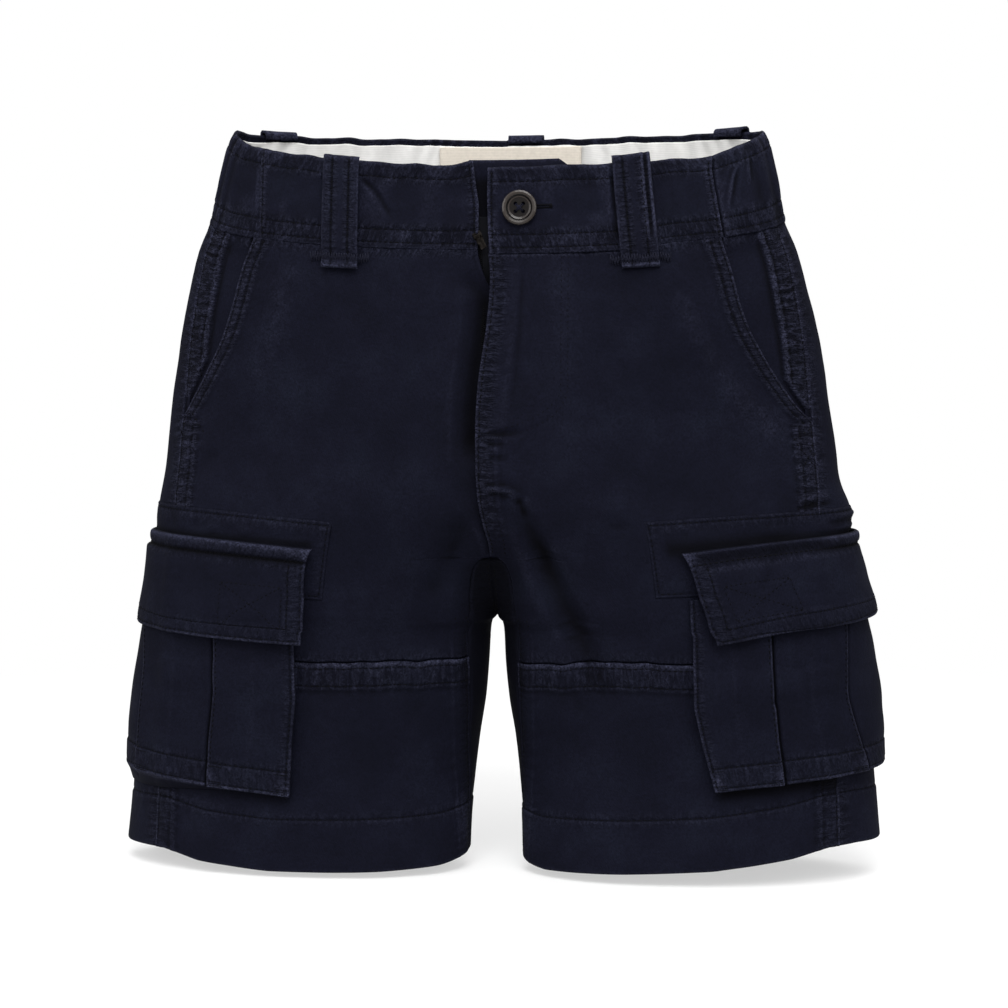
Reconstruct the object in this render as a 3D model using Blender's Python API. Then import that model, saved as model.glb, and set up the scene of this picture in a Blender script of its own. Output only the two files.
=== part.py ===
"""Boys' cotton-twill cargo shorts, size 5 to 6, filled out as if worn and open at waist and hems.

Frame: +Z up, +X the wearer's left, -Y the front, origin at the middle of the waist opening.
The body's cloth is one smooth skin, read at an angle round the side and a drop below the waist
edge. Every panel is a stretch of that skin with a thickness, 0.3 mm from its neighbours.
"""
import math

import bmesh
import bpy
import numpy as np
from mathutils import Vector

# Sizes are in millimetres and angles in degrees. MM turns a size into metres.
MM = 0.001
SEAM_GAP = 0.3        # between two panels along a seam
CLOTH = 1.2           # wall of the twill
HALF_GAP = SEAM_GAP / 2

WAIST_SEAM = 44       # drop of the seam under the waistband
THIGH_SEAM = 260      # drop of the double-stitched seam across the front of the leg
CROTCH_FRONT = 208    # drop where the inseams leave the front centre seam
CROTCH_FOOT = 241     # drop where the legs part
HEM = 361

WAIST_DIP = {"front": 19.5, "back": 3}   # the waist edge is lower at its centre than at its sides
DIP_FADE = 150                           # drop by which that dip is gone
HEM_TILT = {"side": 1.5, "front": 2.5}
TILT_START = 200                         # drop at which the hem's tilt begins
LIFT_START = 270                         # drop at which the hem's uneven lift begins
LIFT_FADE = 60

# One row for each level of the skin. A section is two half ovals, front and back, each side of the
# centre: side is where the outline is, inner is where the inner side is (0 on the centre plane),
# reach is the angle at which the oval meets the centre plane, 180 once the legs have parted.
SECTION_COLUMNS = ("drop", "side_x", "side_y", "inner_x", "inner_y",
                   "front_depth", "back_depth", "front_reach", "back_reach")
SECTIONS = (
    (0, 131.5, -8, 0, -2, 44, 52, 90, 90),
    (22, 136, -11, 0, -2, 45, 53, 90, 90),
    (45, 141.5, -12, 0, -2, 47, 55, 90, 90),
    (60, 147.5, -11, 0, -2, 48, 56, 90, 90),
    (80, 153, -9, 0, -2, 49.5, 58, 90, 90),
    (104, 158.5, -6, 0, -2, 51, 60, 90, 90),
    (134, 163.5, -3, 0, -2, 51.5, 62, 91, 90),
    (160, 167.5, 0, 0, -2, 51.5, 62.5, 99, 94),
    (180, 170.5, 1, 0, -2, 51, 62, 117, 102),
    (198, 173, 2, 0, -2, 50, 60, 136, 114),
    (211, 174.8, 2, 0, -2, 49, 58, 152, 125),
    (225, 176.8, 3, 0, -2, 48, 56, 165, 141),
    (235, 178.3, 3, 0.3, -1.5, 47.5, 54, 173, 159),
    (241, 179.2, 4, 1.2, -1, 47, 53, 180, 180),
    (247, 180.1, 4, 3, 0, 46.5, 52, 180, 180),
    (262, 182.4, 5, 4, 0, 45.5, 50, 180, 180),
    (280, 185, 5, 5.8, 1, 44, 47, 180, 180),
    (300, 187, 5, 9, 2, 42.5, 44, 180, 180),
    (320, 188.4, 5, 11.4, 1, 41, 42, 180, 180),
    (340, 190, 5, 13.2, -2, 40, 41, 180, 180),
    (361, 192.3, 5, 14, -5, 39, 40, 180, 180),
)

# Seam lines on the skin: (drop, angle) rows, or (drop, x) rows for the fly.
SIDE_SEAM = ((44, 12.8), (75, 15.5), (105, 17.5), (140, 20), (160, 22), (180, 26), (198, 31),
             (225, 35), (262, 37), (335, 38.5), (361, 40))
POCKET_MOUTH = ((44, 37.5), (65, 36.8), (77, 36.5), (99, 33.7), (120, 29), (131, 26.5), (141, 21.5))
MOUTH_FOOT = 143      # drop where the pocket mouth runs into the side seam
INSEAM = ((208, 148.5), (213, 146), (218, 145.5), (230, 149), (251, 153.5), (266, 155),
          (295, 160.5), (335, 171.5), (361, 178))
FLY_EDGE = ((0, -1), (25, -0.5), (45, 0.3), (60, 1.5), (90, 0), (105, -1.8), (122, -3.8),
            (145, -5.3), (160, -5.8), (178, -4.8), (192, -2), (203, 0), (208, 0))
FLY_GAP = ((0, 8), (40, 8), (60, 7), (90, 6), (110, 3), (130, 0.8), (150, SEAM_GAP), (208, SEAM_GAP))
# How far the hem edge lies above its level, by angle, on each leg: (angle, left leg, right leg).
HEM_LIFT = ((-180, -1.5, 0), (0, 10, 0), (30, 12, 2.5), (45, 12.5, 3.5), (60, 8.5, -0.5),
            (85, 4.5, -2.5), (115, 1.5, -2), (150, -1, -1), (180, -1.5, 0))

# Levels at which the panels have a row of points.
BODY_ROWS = (60, 80, 104, 122, 134, 147, 160, 172, 184, 197, CROTCH_FRONT, 209.5, 214, 225, 235,
             CROTCH_FOOT, 247)
LEG_ROWS = (280, 300, 320, 340, HEM)
FRONT_STEPS = 12      # steps of the mesh across a front panel
BACK_STEPS = 15
TONGUE_STEPS = 3      # across the back panel's fork, in front of the centre plane

WAISTBAND = {"out": 0.8, "in": -1.2, "side_seam_x": 112, "rows": 3, "front_steps": 10, "back_steps": 38}
LINING = {"out": -1.9, "in": -2.9, "top": 3, "middle": 22, "foot": 41, "front_angle": 22, "steps": 32}
LABEL = {"out": -3.4, "in": -4.4, "centre_x": 2, "width": 74, "top": 4, "foot": 34, "steps": 6}
SHIELD = {"out": -2.9, "in": -4.1, "rows": ((-2.5, -12, 40), (20, -12, 39), (44, -12, 37), (70, -12, 32),
                                            (95, -12, 25), (120, -11, 16), (140, -10, 7)), "steps": 4}
ZIP_TAPE = {"out": -1.5, "in": -2.5, "rows": ((26, -11.5, 8), (60, -9.5, 8), (100, -9.5, 7), (140, -8, 4)),
            "steps": 2}
FACING = {"flush": 0, "sunk": -1.9, "wall": 1, "under": 10, "clear": 2.2, "top": 44, "foot": 138, "rows": 6}

# Belt loops: name, face, x of the middle at the top and at the foot.
LOOPS = (
    ("loop_front_left", "front", 67.5, 73.2),
    ("loop_front_right", "front", -71.5, -71.5),
    ("loop_back_left", "back", 115, 117),
    ("loop_back_centre", "back", 8, 8),
    ("loop_back_right", "back", -115, -117),
)
LOOP = {"width": 18, "wall": 1.4, "top": -1.5, "foot": 57, "end_off": 1.2, "bow": 1.2, "rows": 6, "steps": 2}

# Cargo pockets: drops at the pocket's front edge and at the outline, and the front edge's angle,
# for the wearer's left and right leg.
CARGO_LINES = {
    "left": {"backing_top": (189.5, 182.5), "backing_foot": (222, 218), "flap_top": (203.3, 196),
             "flap_foot": (248, 241), "mouth": (226, 221), "foot": (321, 317.5)},
    "right": {"backing_top": (191, 182.5), "backing_foot": (223, 218), "flap_top": (203.8, 197),
              "flap_foot": (250.5, 243), "mouth": (227, 221), "foot": (325.6, 317.5)},
}
POCKET_EDGE = {"left": ((221, 82.7), (242, 84.2), (289, 86.5), (321, 82.6)),
               "right": ((221, 87.5), (251, 88.9), (278, 90.1), (326, 90.9))}
FLAP_EDGE = {"left": ((200, 80.5), (248, 79.7)), "right": ((200, 84.9), (250, 89.9))}
BACKING_X = 80        # the backing strip's front edge
CARGO_WIDTH = 126     # three 42 mm sections
FLAP_OVER = 1.5       # the flap is wider than the pocket by this at its back edge
BACKING = {"out": 2, "in": 1, "rows": 2, "steps": 12}
# Pocket sheet: share of its height, stand-off of its outer face, wall
POCKET_ROWS = ((0, 2.6, 1.4), (0.16, 3.2, 1.4), (0.32, 4.6, 1.6), (0.52, 5.4, 1.8), (0.78, 5.6, 1.8),
               (1, 4.8, 1.8))
POCKET_STEPS = 12
POCKET_FOOT_OFF = 0.9  # the pocket's side and bottom walls end this far above the leg
# Flap: share of its height, stand-off of its outer face
FLAP_ROWS = ((0, 3.8), (0.2, 4.2), (0.6, 5.2), (1, 6.4))
FLAP_WALL = 1.4
FLAP_STEPS = 12

BUTTON = {"x": 15.8, "drop": 21.8, "foot_off": 1.2, "hole": 1.9, "hole_pitch": 3.7,
          "sides": 24, "hole_sides": 8,
          # turned profile of a 16.6 mm button: radius, height
          "profile": ((6.6, 0), (7.9, 0.5), (8.3, 1.4), (8.1, 2.2), (7.3, 2.6), (6.3, 2.4), (5.6, 1.7),
                      (4.6, 1.4))}
SLIDER = {"x": -4.1, "drop": 37, "lean": 28, "width": 4.2, "length": 5.6, "foot_off": -1.15, "wall": 1.7,
          "lug": 0.7, "lug_length": 1.7, "pin_off": 2.2, "pin_radius": 0.35}
PULL = {"hole_radius": 0.7, "eye_radius": 1.2, "width": 2.1, "neck_width": 1.6, "neck_wall": 1.1,
        "blade_width": 3, "wall": 0.9, "length": 6.6}
ROUND_SIDES = 14

COLOURS = {  # name: sRGB colour, roughness, metallic
    "navy_twill": ((26, 27, 39), 0.9, 0),
    "lining_cotton": ((230, 230, 228), 0.9, 0),
    "label_tape": ((224, 217, 206), 0.85, 0),
    "zip_tape": ((16, 17, 25), 0.9, 0),
    "dark_metal": ((58, 56, 56), 0.35, 1),
    "button_resin": ((43, 39, 38), 0.35, 0),
}


def linear(channel):
    value = channel / 255
    if value <= 0.04045:
        return value / 12.92
    return ((value + 0.055) / 1.055) ** 2.4


def make_material(name, kind):
    """A Principled material of one of COLOURS' kinds, for one piece."""
    colour, roughness, metallic = COLOURS[kind]
    material = bpy.data.materials.new(name)
    material.use_nodes = True
    shader = material.node_tree.nodes["Principled BSDF"]
    shader.inputs["Base Color"].default_value = (*[linear(c) for c in colour], 1)
    shader.inputs["Roughness"].default_value = roughness
    shader.inputs["Metallic"].default_value = metallic
    return material


def smooth_curve(rows, at, column=1):
    """Value at a place on a smooth curve through the rows, with no overshoot between them."""
    table = np.asarray(rows, float)
    knots = table[:, 0]
    values = table[:, column]
    step = np.diff(knots)
    slope = np.diff(values) / step
    tangent = np.zeros(len(values))
    tangent[0] = slope[0]
    tangent[-1] = slope[-1]
    for i in range(1, len(values) - 1):
        if slope[i - 1] * slope[i] > 0:
            before = 2 * step[i] + step[i - 1]
            after = step[i] + 2 * step[i - 1]
            tangent[i] = (before + after) / (before / slope[i - 1] + after / slope[i])
    at = np.asarray(at, float)
    inside = np.clip(at, knots[0], knots[-1])
    i = np.clip(np.searchsorted(knots, inside, side="right") - 1, 0, len(knots) - 2)
    t = (inside - knots[i]) / step[i]
    value = ((2 * t**3 - 3 * t**2 + 1) * values[i] + (t**3 - 2 * t**2 + t) * step[i] * tangent[i]
             + (3 * t**2 - 2 * t**3) * values[i + 1] + (t**3 - t**2) * step[i] * tangent[i + 1])
    return value + (at - inside) * np.where(at < knots[0], tangent[0], tangent[-1])


def straight(rows, at, column=1):
    """Value at a place on straight lines through the rows."""
    table = np.asarray(rows, float)
    return np.interp(at, table[:, 0], table[:, column])


def ease(t):
    t = np.clip(t, 0, 1)
    return t * t * (3 - 2 * t)


def section(column, drop):
    return smooth_curve(SECTIONS, drop, SECTION_COLUMNS.index(column))


def reach(drop, front):
    return np.where(front, section("front_reach", drop), section("back_reach", drop))


def skin(angle, drop, side):
    """Point of the cloth's outer face in mm. Angle 0 is the outline, + the front, - the back."""
    angle, drop, side = np.broadcast_arrays(*[np.asarray(v, float) for v in (angle, drop, side)])
    angle = np.where(angle > 180, angle - 360, angle)
    angle = np.where(angle < -180, angle + 360, angle)
    front = angle >= 0
    limit = np.radians(reach(drop, front))
    turn = np.radians(np.abs(angle))
    across = turn > limit                      # past the centre plane, on the other side's skin
    turn = np.where(across, 2 * limit - turn, turn)
    side_x = section("side_x", drop)
    inner_x = section("inner_x", drop)
    inner_y = section("inner_y", drop)
    half = (side_x - inner_x) / (1 - np.cos(limit))
    x = side_x - half * (1 - np.cos(turn))
    middle = inner_y + (section("side_y", drop) - inner_y) * (x - inner_x) / (side_x - inner_x)
    depth = np.where(front, -section("front_depth", drop), section("back_depth", drop))
    y = middle + depth * np.sin(turn)
    dip = np.where(front, WAIST_DIP["front"], WAIST_DIP["back"]) * np.sin(turn)
    tilt = HEM_TILT["side"] * np.cos(turn) - np.where(front, HEM_TILT["front"], 0) * np.sin(turn)
    z = -drop - ease(1 - drop / DIP_FADE) * dip + ease((drop - TILT_START) / (HEM - TILT_START)) * tilt
    x = np.where(across, -x, x) * side
    return np.stack([x, y, z], -1)


def outward(angle, drop, side):
    """Unit vector out of the skin, taken on its own side of the centre plane below the fly."""
    angle, drop, side = np.broadcast_arrays(*[np.asarray(v, float) for v in (angle, drop, side)])
    step = 1.5
    limit = reach(drop, angle >= 0)
    fold = (limit > 92) & (limit < 179.9) & (np.abs(angle) <= limit)
    low = np.where(fold, np.clip(angle - step, -limit, limit), angle - step)
    high = np.where(fold, np.clip(angle + step, -limit, limit), angle + step)
    across = skin(high, drop, side) - skin(low, drop, side)
    down = skin(angle, drop + step, side) - skin(angle, drop - step, side)
    normal = np.cross(across, down) * side[..., None]
    return normal / np.linalg.norm(normal, axis=-1, keepdims=True)


def moved_out(angle, drop, side, distance):
    distance = np.asarray(distance, float)
    return skin(angle, drop, side) + outward(angle, drop, side) * distance[..., None]


def walked(angle, drop, distance):
    """The angle that lies a distance along the skin from another, towards the front if positive."""
    angles = np.linspace(-180, 180, 361)
    points = skin(angles, drop, 1)
    arc = np.concatenate([[0], np.cumsum(np.linalg.norm(np.diff(points, axis=0), axis=1))])
    return float(np.interp(np.interp(angle, angles, arc) + distance, arc, angles))


def angle_at_x(x, drop, front):
    """The angle where the skin has a given x, past the centre plane if x is negative."""
    limit = math.radians(float(reach(drop, front)))
    side_x = float(section("side_x", drop))
    inner_x = float(section("inner_x", drop))
    half = (side_x - inner_x) / (1 - math.cos(limit))
    turn = math.acos(max(-1, 1 - (side_x - abs(x)) / half))
    if x < 0:
        turn = 2 * limit - turn
    return math.degrees(turn) * (1 if front else -1)


def hem_lift(angle, drop, side):
    """How far a point of the leg is raised above its level, by its place round the leg."""
    wrapped = np.where(np.asarray(angle) < -180, np.asarray(angle) + 360, angle)
    lift = np.where(np.asarray(side) > 0, straight(HEM_LIFT, wrapped, 1), straight(HEM_LIFT, wrapped, 2))
    return ease((drop - LIFT_START) / LIFT_FADE) * lift


def side_name(side):
    return "left" if side > 0 else "right"


def grid_faces(rows, columns):
    """Quads of a grid of points that is stored row by row."""
    faces = []
    for r in range(rows - 1):
        for c in range(columns - 1):
            start = r * columns + c
            faces.append((start, start + 1, start + columns + 1, start + columns))
    return faces


def add_object(name, points, faces, kind):
    """A closed mesh object from points in mm, its faces turned outwards."""
    mesh = bpy.data.meshes.new(name)
    mesh.from_pydata([Vector(p) * MM for p in points], [], faces)
    work = bmesh.new()
    work.from_mesh(mesh)
    bmesh.ops.remove_doubles(work, verts=work.verts[:], dist=0.00001)
    bmesh.ops.recalc_face_normals(work, faces=work.faces[:])
    if work.calc_volume(signed=True) < 0:
        bmesh.ops.reverse_faces(work, faces=work.faces[:])
    work.to_mesh(mesh)
    work.free()
    item = bpy.data.objects.new(name, mesh)
    item.data.materials.append(make_material(name + "_finish", kind))
    bpy.context.collection.objects.link(item)
    return item


def add_wall(name, outer, inner, faces, kind):
    """A cloth wall between two matching sheets of points, with rims round its open edges."""
    count = len(outer)
    edges = set()
    for face in faces:
        for a, b in zip(face, face[1:] + face[:1]):
            edges.add((a, b))
    shell = list(faces)
    shell += [tuple(count + i for i in reversed(face)) for face in faces]
    shell += [(b, a, count + a, count + b) for a, b in sorted(edges) if (b, a) not in edges]
    return add_object(name, [*outer, *inner], shell, kind)


def kept_off_centre(points, side):
    """Points held half a seam gap from the centre plane, on their own side."""
    points = points.copy()
    points[:, 0] = side * np.maximum(points[:, 0] * side, HALF_GAP)
    return points


def add_panel(name, side, rows, span, steps, wall, kind="navy_twill", own_side=False):
    """A grid panel. span(drop) gives its two edge angles, wall(angle, drop) its two stand-offs."""
    outer = []
    inner = []
    for row in rows:
        start, end = span(row)
        angles = np.linspace(start, end, steps + 1)
        drops = row - hem_lift(angles, row, side)
        out_off, in_off = wall(angles, row)
        outer.append(moved_out(angles, drops, side, out_off))
        inner.append(moved_out(angles, drops, side, in_off))
    outer = np.concatenate(outer)
    inner = np.concatenate(inner)
    if own_side:
        outer = kept_off_centre(outer, side)
        inner = kept_off_centre(inner, side)
    return add_wall(name, outer, inner, grid_faces(len(rows), steps + 1), kind)


def even_wall(out, into):
    """Stand-offs that are the same all over a piece."""
    def offsets(angles, _drop):
        return np.full(len(angles), float(out)), np.full(len(angles), float(into))
    return offsets


def front_outer_angle(drop):
    """Outer edge of the front panel: the hip pocket's mouth, then the side seam."""
    seam = float(smooth_curve(SIDE_SEAM, drop))
    if drop < MOUTH_FOOT:
        return max(float(smooth_curve(POCKET_MOUTH, drop)), walked(seam, drop, HALF_GAP))
    return walked(seam, drop, HALF_GAP)


def front_inner_angle(drop, side):
    """Inner edge of the front panel: the fly, the centre seam, then the inseam."""
    if drop > CROTCH_FRONT:
        return walked(float(smooth_curve(INSEAM, drop)), drop, -HALF_GAP)
    edge = float(smooth_curve(FLY_EDGE, drop))
    gap = float(smooth_curve(FLY_GAP, drop))
    x = edge + HALF_GAP if side > 0 else gap - HALF_GAP - edge
    return angle_at_x(x, drop, True)


def make_fronts(side):
    name = side_name(side)
    cloth = even_wall(0, -CLOTH)
    rows = (WAIST_SEAM + HALF_GAP, *BODY_ROWS, THIGH_SEAM - HALF_GAP)
    add_panel("front_upper_" + name, side, rows,
              lambda drop: (front_outer_angle(drop), front_inner_angle(drop, side)), FRONT_STEPS, cloth)
    rows = (THIGH_SEAM + HALF_GAP, *LEG_ROWS)
    add_panel("front_lower_" + name, side, rows,
              lambda drop: (front_outer_angle(drop), front_inner_angle(drop, side)), FRONT_STEPS, cloth)


def make_back(side):
    """The back panel: round the outline from the side seam, with the fork that runs under the
    crotch to the inseam. Below the crotch the two stretches are one."""
    rows = (WAIST_SEAM + HALF_GAP, *BODY_ROWS, THIGH_SEAM, *LEG_ROWS)
    columns = BACK_STEPS + 1
    outer = []
    inner = []
    faces = grid_faces(len(rows), columns)

    def add_row(angles, row):
        drops = row - hem_lift(angles, row, side)
        outer.extend(kept_off_centre(moved_out(angles, drops, side, np.zeros(len(angles))), side))
        inner.extend(kept_off_centre(moved_out(angles, drops, side, np.full(len(angles), -CLOTH)), side))

    for row in rows:
        seam = walked(float(smooth_curve(SIDE_SEAM, row)), row, -HALF_GAP)
        add_row(np.linspace(seam, -float(reach(row, False)), columns), row)
    before = None
    for r, row in enumerate(rows):
        if row <= CROTCH_FRONT:
            continue
        centre = float(reach(row, True))
        inseam = walked(float(smooth_curve(INSEAM, row)), row, HALF_GAP)
        parted = row >= CROTCH_FOOT
        angles = np.linspace(centre, inseam, TONGUE_STEPS + 1)
        first = len(outer)
        add_row(angles[1:] if parted else angles, row)
        if parted:
            current = [r * columns + BACK_STEPS, *range(first, len(outer))]
        else:
            current = list(range(first, len(outer)))
        if before:
            for i in range(TONGUE_STEPS):
                faces.append((before[i], before[i + 1], current[i + 1], current[i]))
        before = current
    add_wall("back_" + side_name(side), np.array(outer), np.array(inner), faces, "navy_twill")


def make_facing(side):
    """The hip pocket's facing: flush with the back at the side seam, sunk behind the mouth."""
    rows = np.linspace(FACING["top"] + HALF_GAP, FACING["foot"], FACING["rows"] + 1)

    def span(drop):
        seam = walked(float(smooth_curve(SIDE_SEAM, drop)), drop, HALF_GAP)
        return seam, walked(float(smooth_curve(POCKET_MOUTH, drop)), drop, FACING["under"])

    outer = []
    inner = []
    for row in rows:
        start, end = span(row)
        mouth = walked(float(smooth_curve(POCKET_MOUTH, row)), row, -FACING["clear"])
        middle = max((start + mouth) / 2, start + 0.5)
        sunk_at = max(mouth, middle + 0.5)
        angles = np.array([start, middle, sunk_at, (sunk_at + end) / 2, end])
        depth = np.array([0.3, 0.75, 1, 1, 1]) * (FACING["sunk"] - FACING["flush"])
        outer.extend(moved_out(angles, row, side, depth))
        inner.extend(moved_out(angles, row, side, depth - FACING["wall"]))
    add_wall("hip_facing_" + side_name(side), np.array(outer), np.array(inner),
             grid_faces(len(rows), 5), "navy_twill")


def band_angle(drop):
    """Angle of the waistband's seam at the end of its flat front length."""
    return angle_at_x(WAISTBAND["side_seam_x"], drop, True)


def make_waistband():
    rows = np.linspace(0, WAIST_SEAM - HALF_GAP, WAISTBAND["rows"])
    wall = even_wall(WAISTBAND["out"], WAISTBAND["in"])
    for side in (1, -1):
        add_panel("waistband_front_" + side_name(side), side, rows,
                  lambda drop: (walked(band_angle(drop), drop, HALF_GAP), front_inner_angle(drop, side)),
                  WAISTBAND["front_steps"], wall)
    make_round_back("waistband_back", rows, lambda drop: walked(band_angle(drop), drop, -HALF_GAP),
                    WAISTBAND["back_steps"], WAISTBAND["out"], WAISTBAND["in"], "navy_twill")
    rows = (LINING["top"], LINING["middle"], LINING["foot"])
    make_round_back("waistband_lining", rows, lambda drop: LINING["front_angle"],
                    LINING["steps"], LINING["out"], LINING["in"], "lining_cotton")


def make_round_back(name, rows, end_angle, steps, out, into, kind):
    """A band from one front round the back to the other front."""
    outer = []
    inner = []
    for row in rows:
        share = np.linspace(-1, 1, steps + 1)
        side = np.where(share < 0, -1, 1)
        angles = -90 + np.abs(share) * (90 + end_angle(row))
        outer.append(moved_out(angles, row, side, np.full(steps + 1, out)))
        inner.append(moved_out(angles, row, side, np.full(steps + 1, into)))
    add_wall(name, np.concatenate(outer), np.concatenate(inner), grid_faces(len(rows), steps + 1), kind)


def strip_row(left_x, right_x, steps, drop, front):
    """Sides and angles of points spread evenly in x between two places, over the centre plane."""
    across = np.linspace(left_x, right_x, steps + 1)
    side = np.where(across < 0, -1, 1)
    angles = np.array([angle_at_x(abs(x), drop, front) for x in across])
    return side, angles


def make_strip(name, rows, steps, front, out, into, kind):
    """A flat strip inside or outside the centre front or back. rows: (drop, left x, right x)."""
    outer = []
    inner = []
    for drop, left_x, right_x in rows:
        side, angles = strip_row(left_x, right_x, steps, drop, front)
        outer.append(moved_out(angles, drop, side, np.full(steps + 1, out)))
        inner.append(moved_out(angles, drop, side, np.full(steps + 1, into)))
    add_wall(name, np.concatenate(outer), np.concatenate(inner), grid_faces(len(rows), steps + 1), kind)


def make_loops():
    """Belt loops, sewn down at both ends and bowed off the band between them."""
    for name, face, top_x, foot_x in LOOPS:
        outer = []
        inner = []
        for share in np.linspace(0, 1, LOOP["rows"] + 1):
            drop = LOOP["top"] + share * (LOOP["foot"] - LOOP["top"])
            x = top_x + share * (foot_x - top_x)
            half = LOOP["width"] / 2
            if abs(x) < half:
                sides, angles = strip_row(x - half, x + half, LOOP["steps"], drop, False)
            else:
                sides = 1 if x > 0 else -1
                middle = angle_at_x(abs(x), drop, face == "front")
                ends = (walked(middle, drop, -half), walked(middle, drop, half))
                angles = np.linspace(*ends, LOOP["steps"] + 1)
            off = LOOP["end_off"] + LOOP["bow"] * math.sin(math.pi * share) ** 0.6
            outer.append(moved_out(angles, drop, sides, np.full(len(angles), off + LOOP["wall"])))
            inner.append(moved_out(angles, drop, sides, np.full(len(angles), off)))
        add_wall(name, np.concatenate(outer), np.concatenate(inner),
                 grid_faces(LOOP["rows"] + 1, LOOP["steps"] + 1), "navy_twill")


def cargo_drop(line, side, angles, edge_angle):
    """Drop of a cargo line at each angle: it falls from the outline to the pocket's front edge."""
    front_drop, side_drop = CARGO_LINES[side_name(side)][line]
    share = (1 - np.cos(np.radians(np.clip(angles, 0, None)))) / (1 - math.cos(math.radians(edge_angle)))
    return side_drop + (front_drop - side_drop) * share


def cargo_span(side, drop, edges, over=0):
    """Front and back edge angles of a cargo piece at one level."""
    front = float(straight(edges[side_name(side)], drop))
    return front, walked(front, drop, -CARGO_WIDTH - over)


def make_backing(side):
    outer = []
    inner = []
    edge = angle_at_x(BACKING_X, 205, True)
    for share in np.linspace(0, 1, BACKING["rows"] + 1):
        angles = np.linspace(edge, walked(edge, 205, -CARGO_WIDTH - 2), BACKING["steps"] + 1)
        top = cargo_drop("backing_top", side, angles, edge)
        foot = cargo_drop("backing_foot", side, angles, edge)
        drops = top + share * (foot - top)
        outer.append(moved_out(angles, drops, side, np.full(len(angles), BACKING["out"])))
        inner.append(moved_out(angles, drops, side, np.full(len(angles), BACKING["in"])))
    add_wall("cargo_backing_" + side_name(side), np.concatenate(outer), np.concatenate(inner),
             grid_faces(BACKING["rows"] + 1, BACKING["steps"] + 1), "navy_twill")


def make_pocket(side):
    """The bellows pocket: a bowed sheet with side and bottom walls back to the leg, open on top."""
    outer = []
    inner = []
    rows = [*POCKET_ROWS, (1, POCKET_FOOT_OFF, 0)]
    lines = CARGO_LINES[side_name(side)]
    for r, (share, stand_off, wall) in enumerate(rows):
        foot_row = r >= len(rows) - 2
        lip_row = r == len(rows) - 1
        level = lines["mouth"][0] * (1 - share) + lines["foot"][0] * share
        front, back = cargo_span(side, level, POCKET_EDGE)
        wall_angle = front - walked(front, level, -POCKET_ROWS[-1][2])
        angles = np.linspace(front, back, POCKET_STEPS + 1)
        out_angles = np.array([front, *angles, back])
        in_angles = np.clip(out_angles, back + wall_angle, front - wall_angle)
        top = cargo_drop("mouth", side, out_angles, front)
        foot = cargo_drop("foot", side, out_angles, front)
        drops = top + share * (foot - top)
        in_drops = drops - (POCKET_ROWS[-1][2] if foot_row else 0)
        out_off = np.full(len(out_angles), float(stand_off))
        in_off = np.full(len(out_angles), float(stand_off if lip_row else stand_off - wall))
        for end in (0, -1):
            out_off[end] = POCKET_FOOT_OFF
            in_off[end] = POCKET_FOOT_OFF
        outer.append(moved_out(out_angles, drops, side, out_off))
        inner.append(moved_out(in_angles, in_drops, side, in_off))
    add_wall("cargo_pocket_" + side_name(side), np.concatenate(outer), np.concatenate(inner),
             grid_faces(len(rows), POCKET_STEPS + 3), "navy_twill")


def make_flap(side):
    outer = []
    inner = []
    lines = CARGO_LINES[side_name(side)]
    for share, stand_off in FLAP_ROWS:
        level = lines["flap_top"][0] * (1 - share) + lines["flap_foot"][0] * share
        front, back = cargo_span(side, level, FLAP_EDGE, FLAP_OVER)
        angles = np.linspace(front, back, FLAP_STEPS + 1)
        top = cargo_drop("flap_top", side, angles, front)
        foot = cargo_drop("flap_foot", side, angles, front)
        drops = top + share * (foot - top)
        outer.append(moved_out(angles, drops, side, np.full(len(angles), stand_off)))
        inner.append(moved_out(angles, drops, side, np.full(len(angles), stand_off - FLAP_WALL)))
    add_wall("cargo_flap_" + side_name(side), np.concatenate(outer), np.concatenate(inner),
             grid_faces(len(FLAP_ROWS), FLAP_STEPS + 1), "navy_twill")


def skin_frame(x, drop, lean=0):
    """Place on the front at a given x: origin in mm, and axes across, down the cloth and out of it."""
    side = 1 if x > 0 else -1
    angle = angle_at_x(abs(x), drop, True)
    origin = Vector(skin(angle, drop, side))
    out = Vector(outward(angle, drop, side)).normalized()
    down = Vector((math.sin(math.radians(lean)), 0, -math.cos(math.radians(lean))))
    down = (down - out * down.dot(out)).normalized()
    return origin, out.cross(down).normalized(), down, out


def ring(radius, height, sides):
    turns = [2 * math.pi * i / sides for i in range(sides)]
    return [Vector((radius * math.cos(t), radius * math.sin(t), height)) for t in turns]


def lathe(profile, sides):
    """Points and faces of a turned solid, closed at both ends by a flat cap."""
    points = []
    for radius, height in profile:
        points += ring(radius, height, sides)
    faces = []
    for r in range(len(profile) - 1):
        for i in range(sides):
            j = (i + 1) % sides
            faces.append((r * sides + i, r * sides + j, (r + 1) * sides + j, (r + 1) * sides + i))
    faces.append(tuple(range(sides)))
    faces.append(tuple(range(len(points) - sides, len(points))))
    return points, faces


def box(size):
    """Points and faces of a box about the origin."""
    half = [s / 2 for s in size]
    points = [Vector((x * half[0], y * half[1], z * half[2]))
              for z in (-1, 1) for x, y in ((-1, -1), (1, -1), (1, 1), (-1, 1))]
    faces = [(0, 1, 2, 3), (4, 5, 6, 7)] + [(i, (i + 1) % 4, (i + 1) % 4 + 4, i + 4) for i in range(4)]
    return points, faces


def placed(points, frame, shift=(0, 0, 0)):
    """Points moved from a frame's own axes (across, down, out) into the object's."""
    origin, across, down, out = frame
    return [origin + across * (p[0] + shift[0]) + down * (p[1] + shift[1]) + out * (p[2] + shift[2])
            for p in points]


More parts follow.
